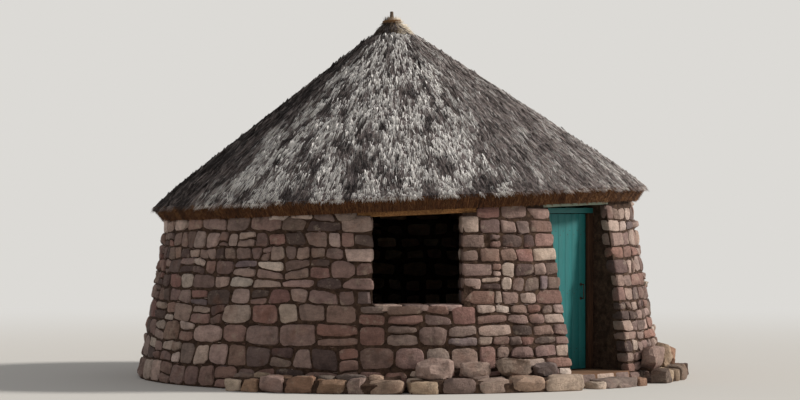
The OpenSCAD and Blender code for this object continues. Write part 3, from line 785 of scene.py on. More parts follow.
def on_inner_face(at, z, out):
    """A point that stands out from the inner face of the wall, into the room."""
    r = WALL_IN_R - out
    return np.stack([r * np.cos(at), r * np.sin(at), z], -1)


def front_y(x, z):
    """Where the outer face of the wall lies at x beside an opening, looking at it from its front."""
    return -np.sqrt(wall_r(z) ** 2 - x ** 2)


def inner_y(x):
    """Where the inner face of the wall lies at x beside an opening."""
    return -np.sqrt(WALL_IN_R ** 2 - x ** 2)


def from_front(at):
    """Places a stone of an opening whose y is measured inwards from the outer face."""
    def place(points):
        moved = points.copy()
        moved[..., 1] += front_y(points[..., 0], points[..., 2])
        return turned(moved, at)
    return place


def from_inside(at):
    """Places a stone of an opening whose y is measured outwards from the inner face."""
    def place(points):
        moved = points.copy()
        moved[..., 1] = inner_y(points[..., 0]) - points[..., 1]
        return turned(moved, at)
    return place


def jamb_box(side, half, proud, width, y0, y1, z0, z1):
    """A stone at a jamb on one side of an opening, standing proud into it."""
    xs = sorted((side * (half - proud), side * (half + width)))
    return (xs[0], xs[1], y0, y1, z0 + CORNER_BED, z1 - CORNER_BED)


# Courses from the ground up that have the longest stones
BIG_COURSES = 3


def outer_stones():
    """Cells of the outer face, and the corner stones of the doorway and the window, course by course."""
    draw = np.random.default_rng(41)
    cells = []
    door_boxes = []
    window_boxes = []
    window_inner_boxes = []
    for k in range(len(COURSES) - 1):
        r = wall_r((COURSES[k] + COURSES[k + 1]) / 2)
        low = lambda at: course_z(COURSES, k, at)
        high = lambda at: course_top(COURSES, k, at, r)
        lengths = (0.22, 0.4) if k < BIG_COURSES else (0.17, 0.35)
        jamb = asin(DOOR_HALF / r)
        share = draw.uniform(0.43, 0.57)
        part = lambda at: low(at) + (high(at) - low(at)) * share
        for side in (-1, 1):
            edge = DOOR_AT + jamb if side > 0 else DOOR_AT + TURN - jamb
            zone = edge + side * draw.uniform(0.8, 1.25) / r
            if side < 0 and COURSES[k] >= SILL_H - 0.01:
                zone = max(zone, WINDOW_ROUND + asin((WINDOW_HALF + JAMB_ZONE) / r))
            rise = high(edge) - low(edge)
            if rise < LEAST_COURSE:
                continue
            rows = [(low, part), (part, high)] if rise > CORNER_RISE else [(low, high)]
            for row_low, row_high in rows:
                width = draw.choice((0.16, 0.3)) * draw.uniform(0.85, 1.15)
                z0, z1 = row_low(edge), row_high(edge)
                depth = FRAME_OUT_Y - 0.016 - front_y(DOOR_HALF, z0)
                into, out = draw.uniform(*CORNER_IN), draw.uniform(*CORNER_OUT)
                back = min(draw.uniform(0.07, 0.17), depth)
                door_boxes.append(jamb_box(side, DOOR_HALF, into, width, -out, back, z0, z1))
                ends = sorted((edge + side * width / r, zone))
                cells += row_cells(row_low, row_high, ends[0], ends[1], r, (0.15, 0.33), 0, draw)
            if side > 0:
                far_start = zone
            else:
                far_end = zone
        if COURSES[k] >= SILL_H - 0.01 and high(WINDOW_ROUND) - low(WINDOW_ROUND) > LEAST_COURSE:
            gap = asin(WINDOW_HALF / r)
            z0, z1 = low(WINDOW_ROUND), high(WINDOW_ROUND)
            for side in (-1, 1):
                width = (0.18, 0.33)[(k + (side > 0)) % 2] * draw.uniform(0.9, 1.1)
                whole = inner_y(WINDOW_HALF) - front_y(WINDOW_HALF, z0)
                first = (0.33, 0.2)[(k + (side > 0)) % 2] * draw.uniform(0.9, 1.1)
                into, out = draw.uniform(*CORNER_IN), draw.uniform(*CORNER_OUT)
                window_boxes.append(jamb_box(side, WINDOW_HALF, into, width, -out, first, z0, z1))
                into, back = draw.uniform(*INNER_CORNER_IN), whole - first - BEDDED
                window_inner_boxes.append(jamb_box(side, WINDOW_HALF, into, 0.2, -BEDDED, back, z0, z1))
                edge = WINDOW_ROUND + side * (gap + width / r)
                ends = (far_start, edge) if side < 0 else (edge, far_end)
                cells += row_cells(low, high, ends[0], ends[1], r, lengths, 0.24, draw)
        elif COURSES[k] >= SILL_H - 0.01:
            for ends in ((far_start, lintel_ends(r)[1]), (lintel_ends(r)[2], far_end)):
                cells += row_cells(low, high, ends[0], ends[1], r, lengths, 0, draw)
        else:
            cells += row_cells(low, high, far_start, far_end, r, lengths, 0.28, draw)
    return cells, door_boxes, window_boxes, window_inner_boxes


def inner_cells():
    """Cells of the inner face, laid more coarsely."""
    draw = np.random.default_rng(43)
    cells = []
    door = asin((DOOR_HALF + 0.01) / WALL_IN_R)
    window = asin((WINDOW_HALF + 0.2) / WALL_IN_R)
    for k in range(len(INNER_COURSES) - 1):
        low = lambda at: course_z(INNER_COURSES, k, at)
        high = lambda at: course_top(INNER_COURSES, k, at, WALL_IN_R)
        ends = [(DOOR_AT + door, DOOR_AT + TURN - door)]
        if SILL_H - 0.01 < INNER_COURSES[k] < high(WINDOW_ROUND):
            ends = [(DOOR_AT + door, WINDOW_ROUND - window), (WINDOW_ROUND + window, DOOR_AT + TURN - door)]
        for start, end in ends:
            cells += row_cells(low, high, start, end, WALL_IN_R, (0.22, 0.4), 0.08, draw)
    return cells


sandstone = field_sandstone()
mortar = mud_mortar()
earth = rammed_earth()
outer, door_boxes, window_boxes, window_inner_boxes = outer_stones()
wedges = slivers(outer, 0.75, np.random.default_rng(45))
# Stonework: cells, face, its radius, width of the joints, how far the stones stand out, tints, seed, steps
STONEWORK = {
    "outer_stonework": (outer, on_outer_face, WALL_HEAD_R, 0.012, (0.014, 0.042), STONE_TINTS, 51,
                        STONE_STEPS),
    "outer_wedge_stones": (wedges, on_outer_face, WALL_HEAD_R, 0.003, (0.006, 0.024), STONE_TINTS, 50,
                           CHIP_STEPS),
    "inner_stonework": (inner_cells(), on_inner_face, WALL_IN_R, 0.014, (0.008, 0.02), INNER_TINTS, 52,
                        CHIP_STEPS),
}
for name, (cells, face, r, joint, proud, tints, seed, steps) in STONEWORK.items():
    fit(lay_stones(name, cells, face, r, joint, proud, tints, seed, sandstone, steps), "root", "wall_stone")
CORNERS = (("doorway_corner_stones", door_boxes, from_front(DOOR_AT), 53),
           ("window_corner_stones", window_boxes, from_front(WINDOW_AT), 54),
           ("window_inner_corner_stones", window_inner_boxes, from_inside(WINDOW_AT), 55))
for name, boxes, place, seed in CORNERS:
    fit(lay_blocks(name, boxes, place, STONE_TINTS, seed, sandstone), "root", "wall_stone")


def sill_stones(joint=0.006, low=SILL_H - 0.06):
    """Flat stones along the window sill in two rows, each row as deep as half the wall."""
    boxes = []
    for x0, x1 in ((-0.49, -0.17), (-0.17, 0.12), (0.12, 0.49)):
        for y0, y1, aside, high in ((-0.02, 0.3, 0, 0.012), (0.31, 0.56, -0.03, 0.01)):
            boxes.append((x0 + aside + joint, x1 + aside - joint, y0, y1, low, SILL_H + high))
    return lay_blocks("window_sill_stones", boxes, from_front(WINDOW_AT), STONE_TINTS, 56, sandstone, (7, 10),
                      0.005, deep=0.1)


def threshold_slabs(joint=0.005, low=0.02, under_floor=0.0025):
    """Worn slabs across the doorway, level with the floor."""
    boxes = []
    for y0, y1, xs in ((-0.01, 0.3, (-0.52, -0.14, 0.21, 0.52)), (0.31, 0.7, (-0.52, -0.05, 0.52))):
        for x0, x1 in zip(xs, xs[1:]):
            boxes.append((x0 + joint, x1 - joint, y0, y1, low, FLOOR_H - under_floor))
    return lay_blocks("threshold_slabs", boxes, from_front(DOOR_AT), BOULDER_TINTS, 57, sandstone, (9, 14),
                      0.002, 0.02, breaks=0)


def round_wall(points):
    """Places a stone drawn as (out from the wall foot, along it, up), and cuts it off at the ground."""
    r = WALL_BASE_R + points[..., 0]
    at = points[..., 1] / WALL_BASE_R
    return np.stack([r * np.cos(at), r * np.sin(at), np.maximum(points[..., 2], 0.0)], -1)


# Stretches of the footing: from and to, as angles
FOOTINGS = ((WINDOW_AT - radians(39), WINDOW_AT - radians(3)),
            (WINDOW_AT - radians(2.8), DOOR_AT - radians(11)),
            (DOOR_AT + radians(14), DOOR_AT + radians(47)))
# Ranks of the footing's stones: from and to, out from the wall foot, the height of their tops, and the
# least and greatest length of a stone
FOOTING_RANKS = ((-0.03, 0.16, FOOTING_H + 0.012, 0.18, 0.36),
                 (0.11, FOOTING_W + 0.016, FOOTING_H + 0.004, 0.16, 0.4))
# How far the mud core of the footing lies inside the faces of its ledge
CORE_IN = 0.045
# How far the foot of a stone goes into the ground, where it is cut off
SUNK = 0.02


def footing_stones(name, stretches, tints, seed, joint=0.003):
    """Field stones packed against the wall foot in two ranks, uneven along their tops."""
    draw = np.random.default_rng(seed)
    boxes = []
    for start, end in stretches:
        for out0, out1, top, least, most in FOOTING_RANKS:
            y, last = start * WALL_BASE_R, end * WALL_BASE_R
            while y < last - 0.08:
                length = draw.uniform(least, most)
                if last - y - length < least:
                    length = last - y
                lift = draw.uniform(-0.05, 0.012)
                inner, outer = out0 + draw.uniform(-0.02, 0.01), out1 - draw.uniform(0.0, 0.04)
                boxes.append((inner, outer, y + joint, y + length - joint, -SUNK, top + lift))
                y += length
    return lay_blocks(name, boxes, round_wall, tints, seed + 1, sandstone, (3.6, 7.0), 0.017, 0.16, 5, 0.3)


def footing_core(along=26, into_wall=-0.04):
    """Mud and rubble that fills the footing behind its stones."""
    face, top = FOOTING_W - CORE_IN, FOOTING_H - CORE_IN
    outline = ((into_wall, 0.0), (face, 0.0), (face, FOOTING_H - 2 * CORE_IN), (FOOTING_W - 2 * CORE_IN, top),
               (0.08, FOOTING_H - CORE_IN / 2), (into_wall, FOOTING_H))
    sides = len(outline)
    parts = []
    for start, end in FOOTINGS:
        inset = CORE_IN / WALL_BASE_R
        turns = np.linspace(start + inset, end - inset, along)
        points = np.array([(out, at * WALL_BASE_R, z) for at in turns for out, z in outline])
        lumps = 0.012 * solid_noise(points, 0.1, 66)
        points[:, 0] += lumps * (points[:, 0] > 0)
        points[:, 2] += lumps * (points[:, 2] > 0)
        faces = ring_faces(along, sides) + [ring_cap(0, sides), ring_cap(along - 1, sides)]
        parts.append((round_wall(points), faces))
    return gather("footing_mud_core", parts, mortar)


# Boulders on the footing: angle from the window in degrees, length, width and height
BOULDERS = ((3, 0.43, 0.2, 0.19), (11, 0.33, 0.18, 0.16), (18.5, 0.38, 0.21, 0.185),
            (26, 0.3, 0.17, 0.14), (61.5, 0.38, 0.22, 0.23), (69.5, 0.4, 0.24, 0.26),
            (77.5, 0.34, 0.21, 0.2), (84.5, 0.3, 0.19, 0.15))


def boulders():
    """Rounded boulders laid on the footing."""
    boxes = []
    inside = wall_r(FOOTING_H) - WALL_BASE_R + 0.002
    low = FOOTING_H - 0.03
    for turn, length, width, height in BOULDERS:
        middle = (WINDOW_AT + radians(turn)) * WALL_BASE_R
        half = length / 2
        boxes.append((inside, inside + width, middle - half, middle + half, low, FOOTING_H + height))
    return lay_blocks("footing_boulders_rounded", boxes, round_wall, BOULDER_TINTS, 63, sandstone, (2.7, 4.2),
                      0.03, 0.25, 8, 0.34)


def doorstep():
    """One rough stone before the doorway, with smaller ones wedged at its ends and foot."""
    low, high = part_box("door_step")
    third = (high.x - low.x) / 3
    boxes = [(low.x + 0.1, high.x - 0.14, low.y + 0.01, high.y, -SUNK, high.z),
             (low.x, low.x + 0.15, low.y + 0.03, high.y - 0.04, -SUNK, high.z - 0.03),
             (high.x - 0.19, high.x, low.y + 0.02, high.y - 0.02, -SUNK, high.z - 0.015),
             (low.x + third, low.x + third + 0.24, low.y - 0.012, low.y + 0.1, -SUNK, 0.05)]
    on_ground = lambda points: np.maximum(points, [-np.inf, -np.inf, 0])
    return lay_blocks("doorstep_stones", boxes, on_ground, BOULDER_TINTS, 64, sandstone, (4, 6), 0.014, 0.08)


fit(sill_stones(), "root", "wall_stone")
fit(threshold_slabs(), "root", "footing_stone")
fit(footing_core(), "root", "footing_stone", "footing_left", "footing_front", "footing_right")
fit(footing_stones("footing_stones_front", FOOTINGS[:2], BOULDER_TINTS, 61), "root", "footing_stone")
fit(footing_stones("footing_stones_right", FOOTINGS[2:], DARK_TINTS + BOULDER_TINTS[:2], 67), "root",
    "footing_stone")
fit(boulders(), "root", "footing_stone", "footing_boulders")
fit(doorstep(), "root", "footing_stone", "door_step")


def timber(node, name, material, grain, ease, wander, step, seed):
    """A sawn or hewn piece after a CAD node: its arrises eased by ease, and its faces uneven by wander, which
    needs points about each step along the grain."""
    shape = bmesh.new()
    shape.from_mesh(frame["nodes"][node].data)
    bmesh.ops.remove_doubles(shape, verts=shape.verts, dist=1e-5)
    bmesh.ops.dissolve_limit(shape, angle_limit=radians(1), verts=shape.verts, edges=shape.edges)
    arrises = [edge for edge in shape.edges if edge.is_manifold and edge.calc_face_angle() > radians(20)]
    bmesh.ops.bevel(shape, geom=arrises, offset=ease, segments=2, profile=0.6, affect="EDGES",
                    clamp_overlap=True)
    grain = Vector(grain).normalized()
    reach = [vert.co.dot(grain) for vert in shape.verts]
    cuts = max(2, round((max(reach) - min(reach)) / step))
    for i in range(1, cuts):
        place = min(reach) + (max(reach) - min(reach)) * i / cuts
        everything = shape.verts[:] + shape.edges[:] + shape.faces[:]
        bmesh.ops.bisect_plane(shape, geom=everything, plane_co=grain * place, plane_no=grain)
    points = np.array([vert.co for vert in shape.verts])
    for axis in range(3):
        push = wander * solid_noise(points, 0.11, seed * 9 + axis)
        for vert, amount in zip(shape.verts, push):
            vert.co[axis] += amount
    bmesh.ops.recalc_face_normals(shape, faces=shape.faces)
    mesh = bpy.data.meshes.new(name)
    shape.to_mesh(mesh)
    shape.free()
    return finished(name, mesh, material, 30)


def grown_pole(start, end, r, seed, sides=10, steps=12, bow=0.006):
    """A peeled pole between two points of the roof: a little bowed, with knots, inside its CAD cylinder."""
    share = np.linspace(0, 1, steps)[:, None]
    path = np.asarray(start) + (np.asarray(end) - np.asarray(start)) * share
    draw = np.random.default_rng(seed)
    lean = draw.normal(size=3)
    path = path + lean / np.linalg.norm(lean) * bow * np.sin(pi * share)
    turn = np.arange(sides) * TURN / sides
    knots = 1 + 0.05 * np.sin(turn[None] * 2 + draw.uniform(0, 6)) + draw.uniform(-0.04, 0.04, (steps, sides))
    return pole(settle(path), (r - bow * 0.6) * knots / 1.08, sides)


# Place of the rafters' feet down the slope, and radii of their heads: the main ones butt against the block
# at the peak, and the others end short of it
RAFTER_FOOT_S = 0.12
BLOCK_R = 0.0525
BLOCK_HEAD_R = BLOCK_R + SEAT + RAFTER_D / 2 * sin(ROOF_PITCH)
COMMON_HEAD_R = 0.3


def rafters():
    """Poles from over the wall plate up to the post block, one piece for each set."""
    sets = {"main_rafters": range(0, RAFTER_COUNT, 4)}
    for quarter, name in enumerate(("rafters_back_right", "rafters_back_left", "rafters_front_left",
                                    "rafters_front_right")):
        sets[name] = range(quarter * 4 + 1, quarter * 4 + 4)
    n = PLATE_R + SEAT + RAFTER_D / 2
    for name, members in sets.items():
        head = BLOCK_HEAD_R if name == "main_rafters" else COMMON_HEAD_R
        parts = []
        for i in members:
            ends = []
            for s in (RAFTER_FOOT_S, slope_s(head, n)):
                r, z = section(s, n)
                ends.append((r * cos(i * RAFTER_TURN), r * sin(i * RAFTER_TURN), z))
            parts.append(grown_pole(ends[0], ends[1], RAFTER_D / 2, 80 + i, steps=16, bow=0.004))
        fit(gather(name + "_peeled", parts, pole_wood), "root", "pole_timber", name)


def plate_poles():
    """Short poles laid end to end round the wall head."""
    half = (PLATE_RING_R - PLATE_R) * tan(RAFTER_TURN / 2) - 0.0005
    parts = []
    for i in range(RAFTER_COUNT):
        at = i * RAFTER_TURN
        out = np.array((cos(at), sin(at), 0))
        along = np.array((-sin(at), cos(at), 0))
        centre = out * PLATE_RING_R + (0, 0, WALL_H + PLATE_R)
        parts.append(grown_pole(centre - along * half, centre + along * half, PLATE_R, 120 + i, bow=0.004))
    fit(gather("wall_plate_peeled", parts, pole_wood), "root", "pole_timber", "wall_plate")


pole_wood = wood("peeled poles, smoked", "4a3526", "8a6a4b", "none", 0.85, 20, 0.003)
lintel_wood = wood("hewn lintel timber, weathered", "764a2c", "c6945e", "x", 0.85, 14, 0.004)
frame_wood = wood("sawn frame timber, darkened", "2a1c14", "553a28", "z", 0.85, 12, 0.003)
teal = worn_paint("oil paint on boards, teal", "267675", "1d6665", "8b7355", 0.7)
teal_rail = worn_paint("oil paint on rail, teal", "2b6f6e", "21605f", "8b7355", 0.66, "x")
sage = worn_paint("oil paint on lintel, grey green", "9aa894", "828f7e", "7d6a53", 0.58, "x")
iron = rusted_iron()
window_grain = Vector((cos(WINDOW_AT - DOOR_AT), sin(WINDOW_AT - DOOR_AT), 0))
rafters()
plate_poles()
# Timbers: how each is made, its material, the way of its grain, its ease, wander, step and seed, its body and
# its slot
TIMBERS = {
    "window_lintel": ("hewn", lintel_wood, window_grain, 0.006, 0.004, 0.12, 2, "root", "pole_timber"),
    "door_lintel": ("painted", sage, (1, 0, 0), 0.004, 0.0025, 0.12, 3, "root", "lintel_paint"),
    "door_head": ("painted", teal_rail, (1, 0, 0), 0.003, 0.001, 0.15, 4, "root", "frame_timber"),
    "door_hinge_post": ("sawn", frame_wood, (0, 0, 1), 0.003, 0.001, 0.16, 5, "root", "frame_timber"),
    "door_latch_post": ("sawn", frame_wood, (0, 0, 1), 0.003, 0.001, 0.16, 5, "root", "frame_timber"),
    "door_boards": ("painted", teal, (0, 0, 1), 0.002, 0.0008, 0.2, 6, "door", "door_paint"),
    "door_ledges": ("painted", teal, (1, 0, 0), 0.003, 0.0008, 0.2, 7, "door", "door_paint"),
    "door_braces": ("painted", teal, (1, 0, 1), 0.003, 0.0008, 0.2, 8, "door", "door_paint"),
}
for node, (made, material, grain, ease, wander, step, seed, body, slot) in TIMBERS.items():
    fit(timber(node, node + "_" + made, material, grain, ease, wander, step, seed), body, slot, node)


def mark(mesh, **values):
    """Stores a number for each point of a mesh under each name, for its material to read."""
    for label, numbers in values.items():
        layer = mesh.attributes.new(label, "FLOAT", "POINT")
        layer.data.foreach_set("value", np.asarray(numbers, np.float32))


def spikes(roots, tips, widths):
    """Pointed straws from roots to tips: their points and faces."""
    roots, tips = np.asarray(roots, float), np.asarray(tips, float)
    way = tips - roots
    way /= np.linalg.norm(way, axis=1, keepdims=True)
    side = np.cross(way, (0.31, 0.17, 0.94))
    side /= np.linalg.norm(side, axis=1, keepdims=True)
    over = np.cross(side, way)
    half = np.asarray(widths, float)[:, None] / 2
    points = np.stack([roots - side * half, roots + side * half, roots + over * half * 1.3, tips], 1)
    faces = []
    for k in range(len(roots)):
        a, b, c, d = range(4 * k, 4 * k + 4)
        faces += [(a, d, c), (b, c, d), (a, b, d)]
    return points.reshape(-1, 3), faces


# The angle in degrees past which an edge is drawn sharp, on straws and rope: none is
ALL_SMOOTH = 180


def straw_tuft(name, draw, straws, spread, thick, close, arch):
    """A tuft of pointed straws along X, one metre long, as a template for the thatch. close draws the tips
    together, and arch raises the middle of the tuft."""
    even = (np.arange(straws) / (straws - 1) - 0.5) * spread
    aside = even + draw.uniform(-0.2, 0.2, straws) * spread / straws
    start = draw.uniform(-0.14, 0.14, straws)
    high = arch * (1 - (2 * aside / spread) ** 2) + draw.uniform(-0.003, 0.003, straws)
    end = start + draw.uniform(0.68, 1.0, straws)
    end_aside = aside * close * draw.uniform(0.7, 1.5, straws) + draw.uniform(-0.006, 0.006, straws)
    end_high = high * 0.7 + draw.uniform(-0.002, 0.009, straws)
    points, faces = spikes(np.stack([start, aside, high], -1), np.stack([end, end_aside, end_high], -1),
                           thick * draw.uniform(0.7, 1.2, straws))
    piece = make_piece(name, points, faces, None, sharp=ALL_SMOOTH)
    mark(piece.data, along=np.tile([0, 0, 0, 1], straws), straw=np.repeat(draw.random(straws), 4))
    return piece


def turned_round(outline, sectors):
    """The (radius, height) pairs of an outline, each turned round the hut's axis to a ring."""
    outline = np.asarray(outline, float)
    turn = np.arange(sectors) * TURN / sectors
    ring = np.stack([np.cos(turn), np.sin(turn)], -1)
    rings = [outline[:, None, :1] * ring[None], np.repeat(outline[:, None, 1:], sectors, 1)]
    return np.concatenate(rings, -1).reshape(-1, 3)


def lathe_skin(outline, tangents, sectors=96):
    """A skin of the thatch turned from its outline, open at its edges. "lay" is the way that straws lie."""
    mesh = bpy.data.meshes.new("thatch_skin")
    points = settle(turned_round(outline, sectors))
    mesh.from_pydata(points.tolist(), [], ring_faces(len(outline), sectors))
    lay = turned_round(tangents, sectors) @ np.array(SETTLED)[:3, :3].T
    layer = mesh.attributes.new("lay", "FLOAT_VECTOR", "POINT")
    layer.data.foreach_set("vector", lay.astype(np.float32).ravel())
    return in_scene("thatch_skin", mesh)


# Length down the slope of the clumps that weather alike, in millimetres
CLUMP_LONG = 380
# Inputs of the thatching by kind: the skin to thatch and the tufts to lay on it; how many tufts to a square
# metre, their lengths and width, how far they lift and stray; how large the patches are and how many clumps
# lie round a radian; how strong the painted silver sheen is; the ways to the painted sheen and painted shade
THATCHING = {"Geometry": ("Skin",), "Collection": ("Tufts",),
             "Float": ("Density", "Shortest", "Longest", "Width", "Lift", "Stray", "Patch", "Clump",
                       "Silver"),
             "Vector": ("Weather", "Damp"), "Int": ("Seed",), "Material": ("Straw",)}


def thatching_tree():
    """Lays tufts of straw over a skin, each along the skin's "lay", and tells them apart by tone."""
    tree = bpy.data.node_groups.new("thatching", "GeometryNodeTree")
    for kind, labels in THATCHING.items():
        for label in labels:
            tree.interface.new_socket(name=label, in_out="INPUT", socket_type="NodeSocket" + kind)
    tree.interface.new_socket(name="Thatch", in_out="OUTPUT", socket_type="NodeSocketGeometry")
    given = add(tree, "NodeGroupInput").outputs
    spots = add(tree, "GeometryNodeDistributePointsOnFaces",
                {"Mesh": given["Skin"], "Density": given["Density"], "Seed": given["Seed"]})
    lay = add(tree, "GeometryNodeInputNamedAttribute", {"Name": "lay"}, data_type="FLOAT_VECTOR")
    aimed = add(tree, "FunctionNodeAxesToRotation",
                {"Primary Axis": lay.outputs["Attribute"], "Secondary Axis": spots.outputs["Normal"]},
                primary_axis="X", secondary_axis="Z")
    least = add(tree, "ShaderNodeMath", {0: given["Stray"], 1: -1.0}, operation="MULTIPLY")
    low = add(tree, "ShaderNodeCombineXYZ", {"X": -0.6, "Y": -0.07, "Z": least})
    high = add(tree, "ShaderNodeCombineXYZ", {"X": 0.6, "Y": 0.06, "Z": given["Stray"]})
    sway = add(tree, "FunctionNodeRandomValue", {0: low, 1: high, "Seed": given["Seed"]},
               data_type="FLOAT_VECTOR")
    raised = add(tree, "ShaderNodeCombineXYZ", {"Y": given["Lift"]})
    bent = add(tree, "ShaderNodeVectorMath", {0: sway, 1: raised}, operation="SUBTRACT")
    bend = add(tree, "FunctionNodeEulerToRotation", {"Euler": bent})
    rotation = add(tree, "FunctionNodeRotateRotation", {"Rotation": aimed, "Rotate By": bend},
                   rotation_space="LOCAL")
    length = add(tree, "FunctionNodeRandomValue",
                 {2: given["Shortest"], 3: given["Longest"], "Seed": given["Seed"]}, data_type="FLOAT")
    size = add(tree, "ShaderNodeCombineXYZ", {"X": length, "Y": given["Width"], "Z": given["Width"]})
    tufts = add(tree, "GeometryNodeCollectionInfo",
                {"Collection": given["Tufts"], "Separate Children": True, "Reset Children": True})
    laid = add(tree, "GeometryNodeInstanceOnPoints",
               {"Points": spots.outputs["Points"], "Instance": tufts, "Pick Instance": True,
                "Rotation": rotation, "Scale": size})
    place = add(tree, "GeometryNodeInputPosition")
    cloud = add(tree, "ShaderNodeTexNoise", {"Vector": place, "Scale": given["Patch"], "Detail": 3.0})
    patch = add(tree, "ShaderNodeMapRange", {"Value": cloud, "From Min": 0.3, "From Max": 0.7})
    own = add(tree, "FunctionNodeRandomValue", {"Seed": 7}, data_type="FLOAT")
    level = add(tree, "ShaderNodeVectorMath", {0: place, 1: (1, 1, 0)}, operation="MULTIPLY")
    outward = add(tree, "ShaderNodeVectorMath", {0: level}, operation="NORMALIZE")
    spread = add(tree, "ShaderNodeVectorMath", {0: outward, "Scale": given["Clump"]}, operation="SCALE")
    away = add(tree, "ShaderNodeVectorMath", {0: level}, operation="LENGTH")
    down = add(tree, "ShaderNodeMath", {0: away, 1: across(CLUMP_LONG)}, operation="MULTIPLY")
    run = add(tree, "ShaderNodeCombineXYZ", {"Z": down})
    streak = add(tree, "ShaderNodeVectorMath", {0: spread, 1: run}, operation="ADD")
    bunch = add(tree, "ShaderNodeTexNoise", {"Vector": streak, "Scale": 1.0, "Detail": 2.0})
    clump = add(tree, "ShaderNodeMapRange", {"Value": bunch, "From Min": 0.42, "From Max": 0.53})
    drift = add(tree, "ShaderNodeMix", {0: 0.5, 2: patch, 3: clump}, data_type="FLOAT")
    plain = add(tree, "ShaderNodeMix", {0: 0.5, 2: drift, 3: own}, data_type="FLOAT")
    # Painted sheen: on one side of the roof the tufts are lightened in clumps, standing in for light glancing
    # off straws
    side = add(tree, "ShaderNodeVectorMath", {0: outward, 1: given["Weather"]}, operation="DOT_PRODUCT")
    ragged = add(tree, "ShaderNodeMath", {0: patch, 1: 0.12, 2: side}, operation="MULTIPLY_ADD")
    weathered = add(tree, "ShaderNodeMapRange", {"Value": ragged, "From Min": 0.8, "From Max": 0.93})
    silver = add(tree, "ShaderNodeMath", {0: weathered, 1: given["Silver"]}, operation="MULTIPLY")
    sheen_mottle = add(tree, "ShaderNodeMath", {0: clump, 1: 0.22}, operation="SUBTRACT")
    bleached = add(tree, "ShaderNodeMath", {0: sheen_mottle, 1: silver, 2: plain}, operation="MULTIPLY_ADD")
    # Painted shade: on another side of the roof the tufts are darkened, standing in for shadow
    shaded = add(tree, "ShaderNodeVectorMath", {0: outward, 1: given["Damp"]}, operation="DOT_PRODUCT")
    painted_shade = add(tree, "ShaderNodeMapRange",
                 {"Value": shaded, "From Min": 0.72, "From Max": 0.88, "To Max": 0.4})
    tone = add(tree, "ShaderNodeMath", {0: bleached, 1: painted_shade}, operation="SUBTRACT")
    toned = add(tree, "GeometryNodeStoreNamedAttribute", {"Geometry": laid, "Name": "tone", "Value": tone},
                data_type="FLOAT", domain="INSTANCE")
    whole = add(tree, "GeometryNodeRealizeInstances", {"Geometry": toned})
    dressed = add(tree, "GeometryNodeSetMaterial", {"Geometry": whole, "Material": given["Straw"]})
    add(tree, "NodeGroupOutput", {0: dressed})
    return tree


def thatched(name, skin, tree, **values):
    """The skin's straws as a plain mesh of their own. values are the tree's inputs by name."""
    modifier = skin.modifiers.new("thatching", "NODES")
    modifier.node_group = tree
    for item in tree.interface.items_tree:
        label = item.name.lower()
        if item.in_out == "INPUT" and label in values:
            modifier[item.identifier] = values[label]
    graph = bpy.context.evaluated_depsgraph_get()
    mesh = bpy.data.meshes.new_from_object(skin.evaluated_get(graph), preserve_all_data_layers=True,
                                           depsgraph=graph)
    skin.modifiers.remove(modifier)
    bpy.data.objects.remove(skin)
    mesh.name = name
    return fit(in_scene(name, mesh), "root", "thatch")


def with_tangents(outline):
    """An outline with the way down along it at each of its points, which is the way that straws lie."""
    way = np.gradient(np.array(outline), axis=0)
    return outline, way / np.linalg.norm(way, axis=1, keepdims=True)


def slope_outline(low_s, high_s, steps=8):
    """Outline of the thatch's top between two places on the slope, and the way its straws lie."""
    places = [high_s + (low_s - high_s) * i / steps for i in range(steps + 1)]
    return with_tangents([section(s, eave_n(s)) for s in places])


def crown_outline(steps=8, inner=0.08):
    """Outline of the rounded crown, from near the pole down to the slope, and the way its straws lie."""
    radii = [inner + (CROWN_R - inner) * i / steps for i in range(steps + 1)]
    return with_tangents([(r, crown_z(r)) for r in radii])


def eave_outline(steps=4, inside=0.004):
    """Outline of the cut face of the eave from its top edge down to the underside, and the way out of it."""
    low = np.array(section(EAVE_S - inside, THATCH_N + inside))
    high = np.array(section(EAVE_S - inside, eave_n(EAVE_S) - inside))
    way = (cos(ROOF_PITCH), -sin(ROOF_PITCH))
    return [high + (low - high) * i / steps for i in range(steps + 1)], [way] * (steps + 1)


def tuft_set(name, seed, straws, spread, thick, close, arch, kinds=5):
    """A collection of tufts to thatch with."""
    draw = np.random.default_rng(seed)
    group = bpy.data.collections.new(name)
    bpy.context.scene.collection.children.link(group)
    for i in range(kinds):
        template = straw_tuft(name + "_%d" % i, draw, straws, spread, thick, close, arch)
        bpy.context.scene.collection.objects.unlink(template)
        group.objects.link(template)
    return group


loose = tuft_set("loose_tufts", 90, 7, 0.07, 0.0085, 1.15, 0.0)
locks = tuft_set("thick_locks", 91, 13, 0.075, 0.0095, 0.45, 0.022)
old_straw = weathered_straw("grass straw, weathered", "3a3130", "ad9d97", "fffaf4")
warm_straw = weathered_straw("grass straw, unweathered", "321d11", "5f3d24", "9c6f45", 0.7)
pale_straw = weathered_straw("grass straw, bleached", "41352c", "a38c73", "e4d6c0", 0.6)
thatching = thatching_tree()
# How far above the eave's edge the lowest tufts are rooted, so that the cut ends show below them
EDGE = 0.15
# Rings of the thatch: outline with the way its straws lie, and how long they are beside those of the slope
RINGS = {"eave": (slope_outline(EAVE_S - EDGE, COURSE_S), 0.7),
         "lower": (slope_outline(COURSE_S, COURSE_S + COURSE_THIRD), 1.0),
         "middle": (slope_outline(COURSE_S + COURSE_THIRD, CROWN_S - COURSE_THIRD), 1.0),
         "upper": (slope_outline(CROWN_S - COURSE_THIRD, CROWN_S), 1.0),
         "crown": (crown_outline(), 0.75)}
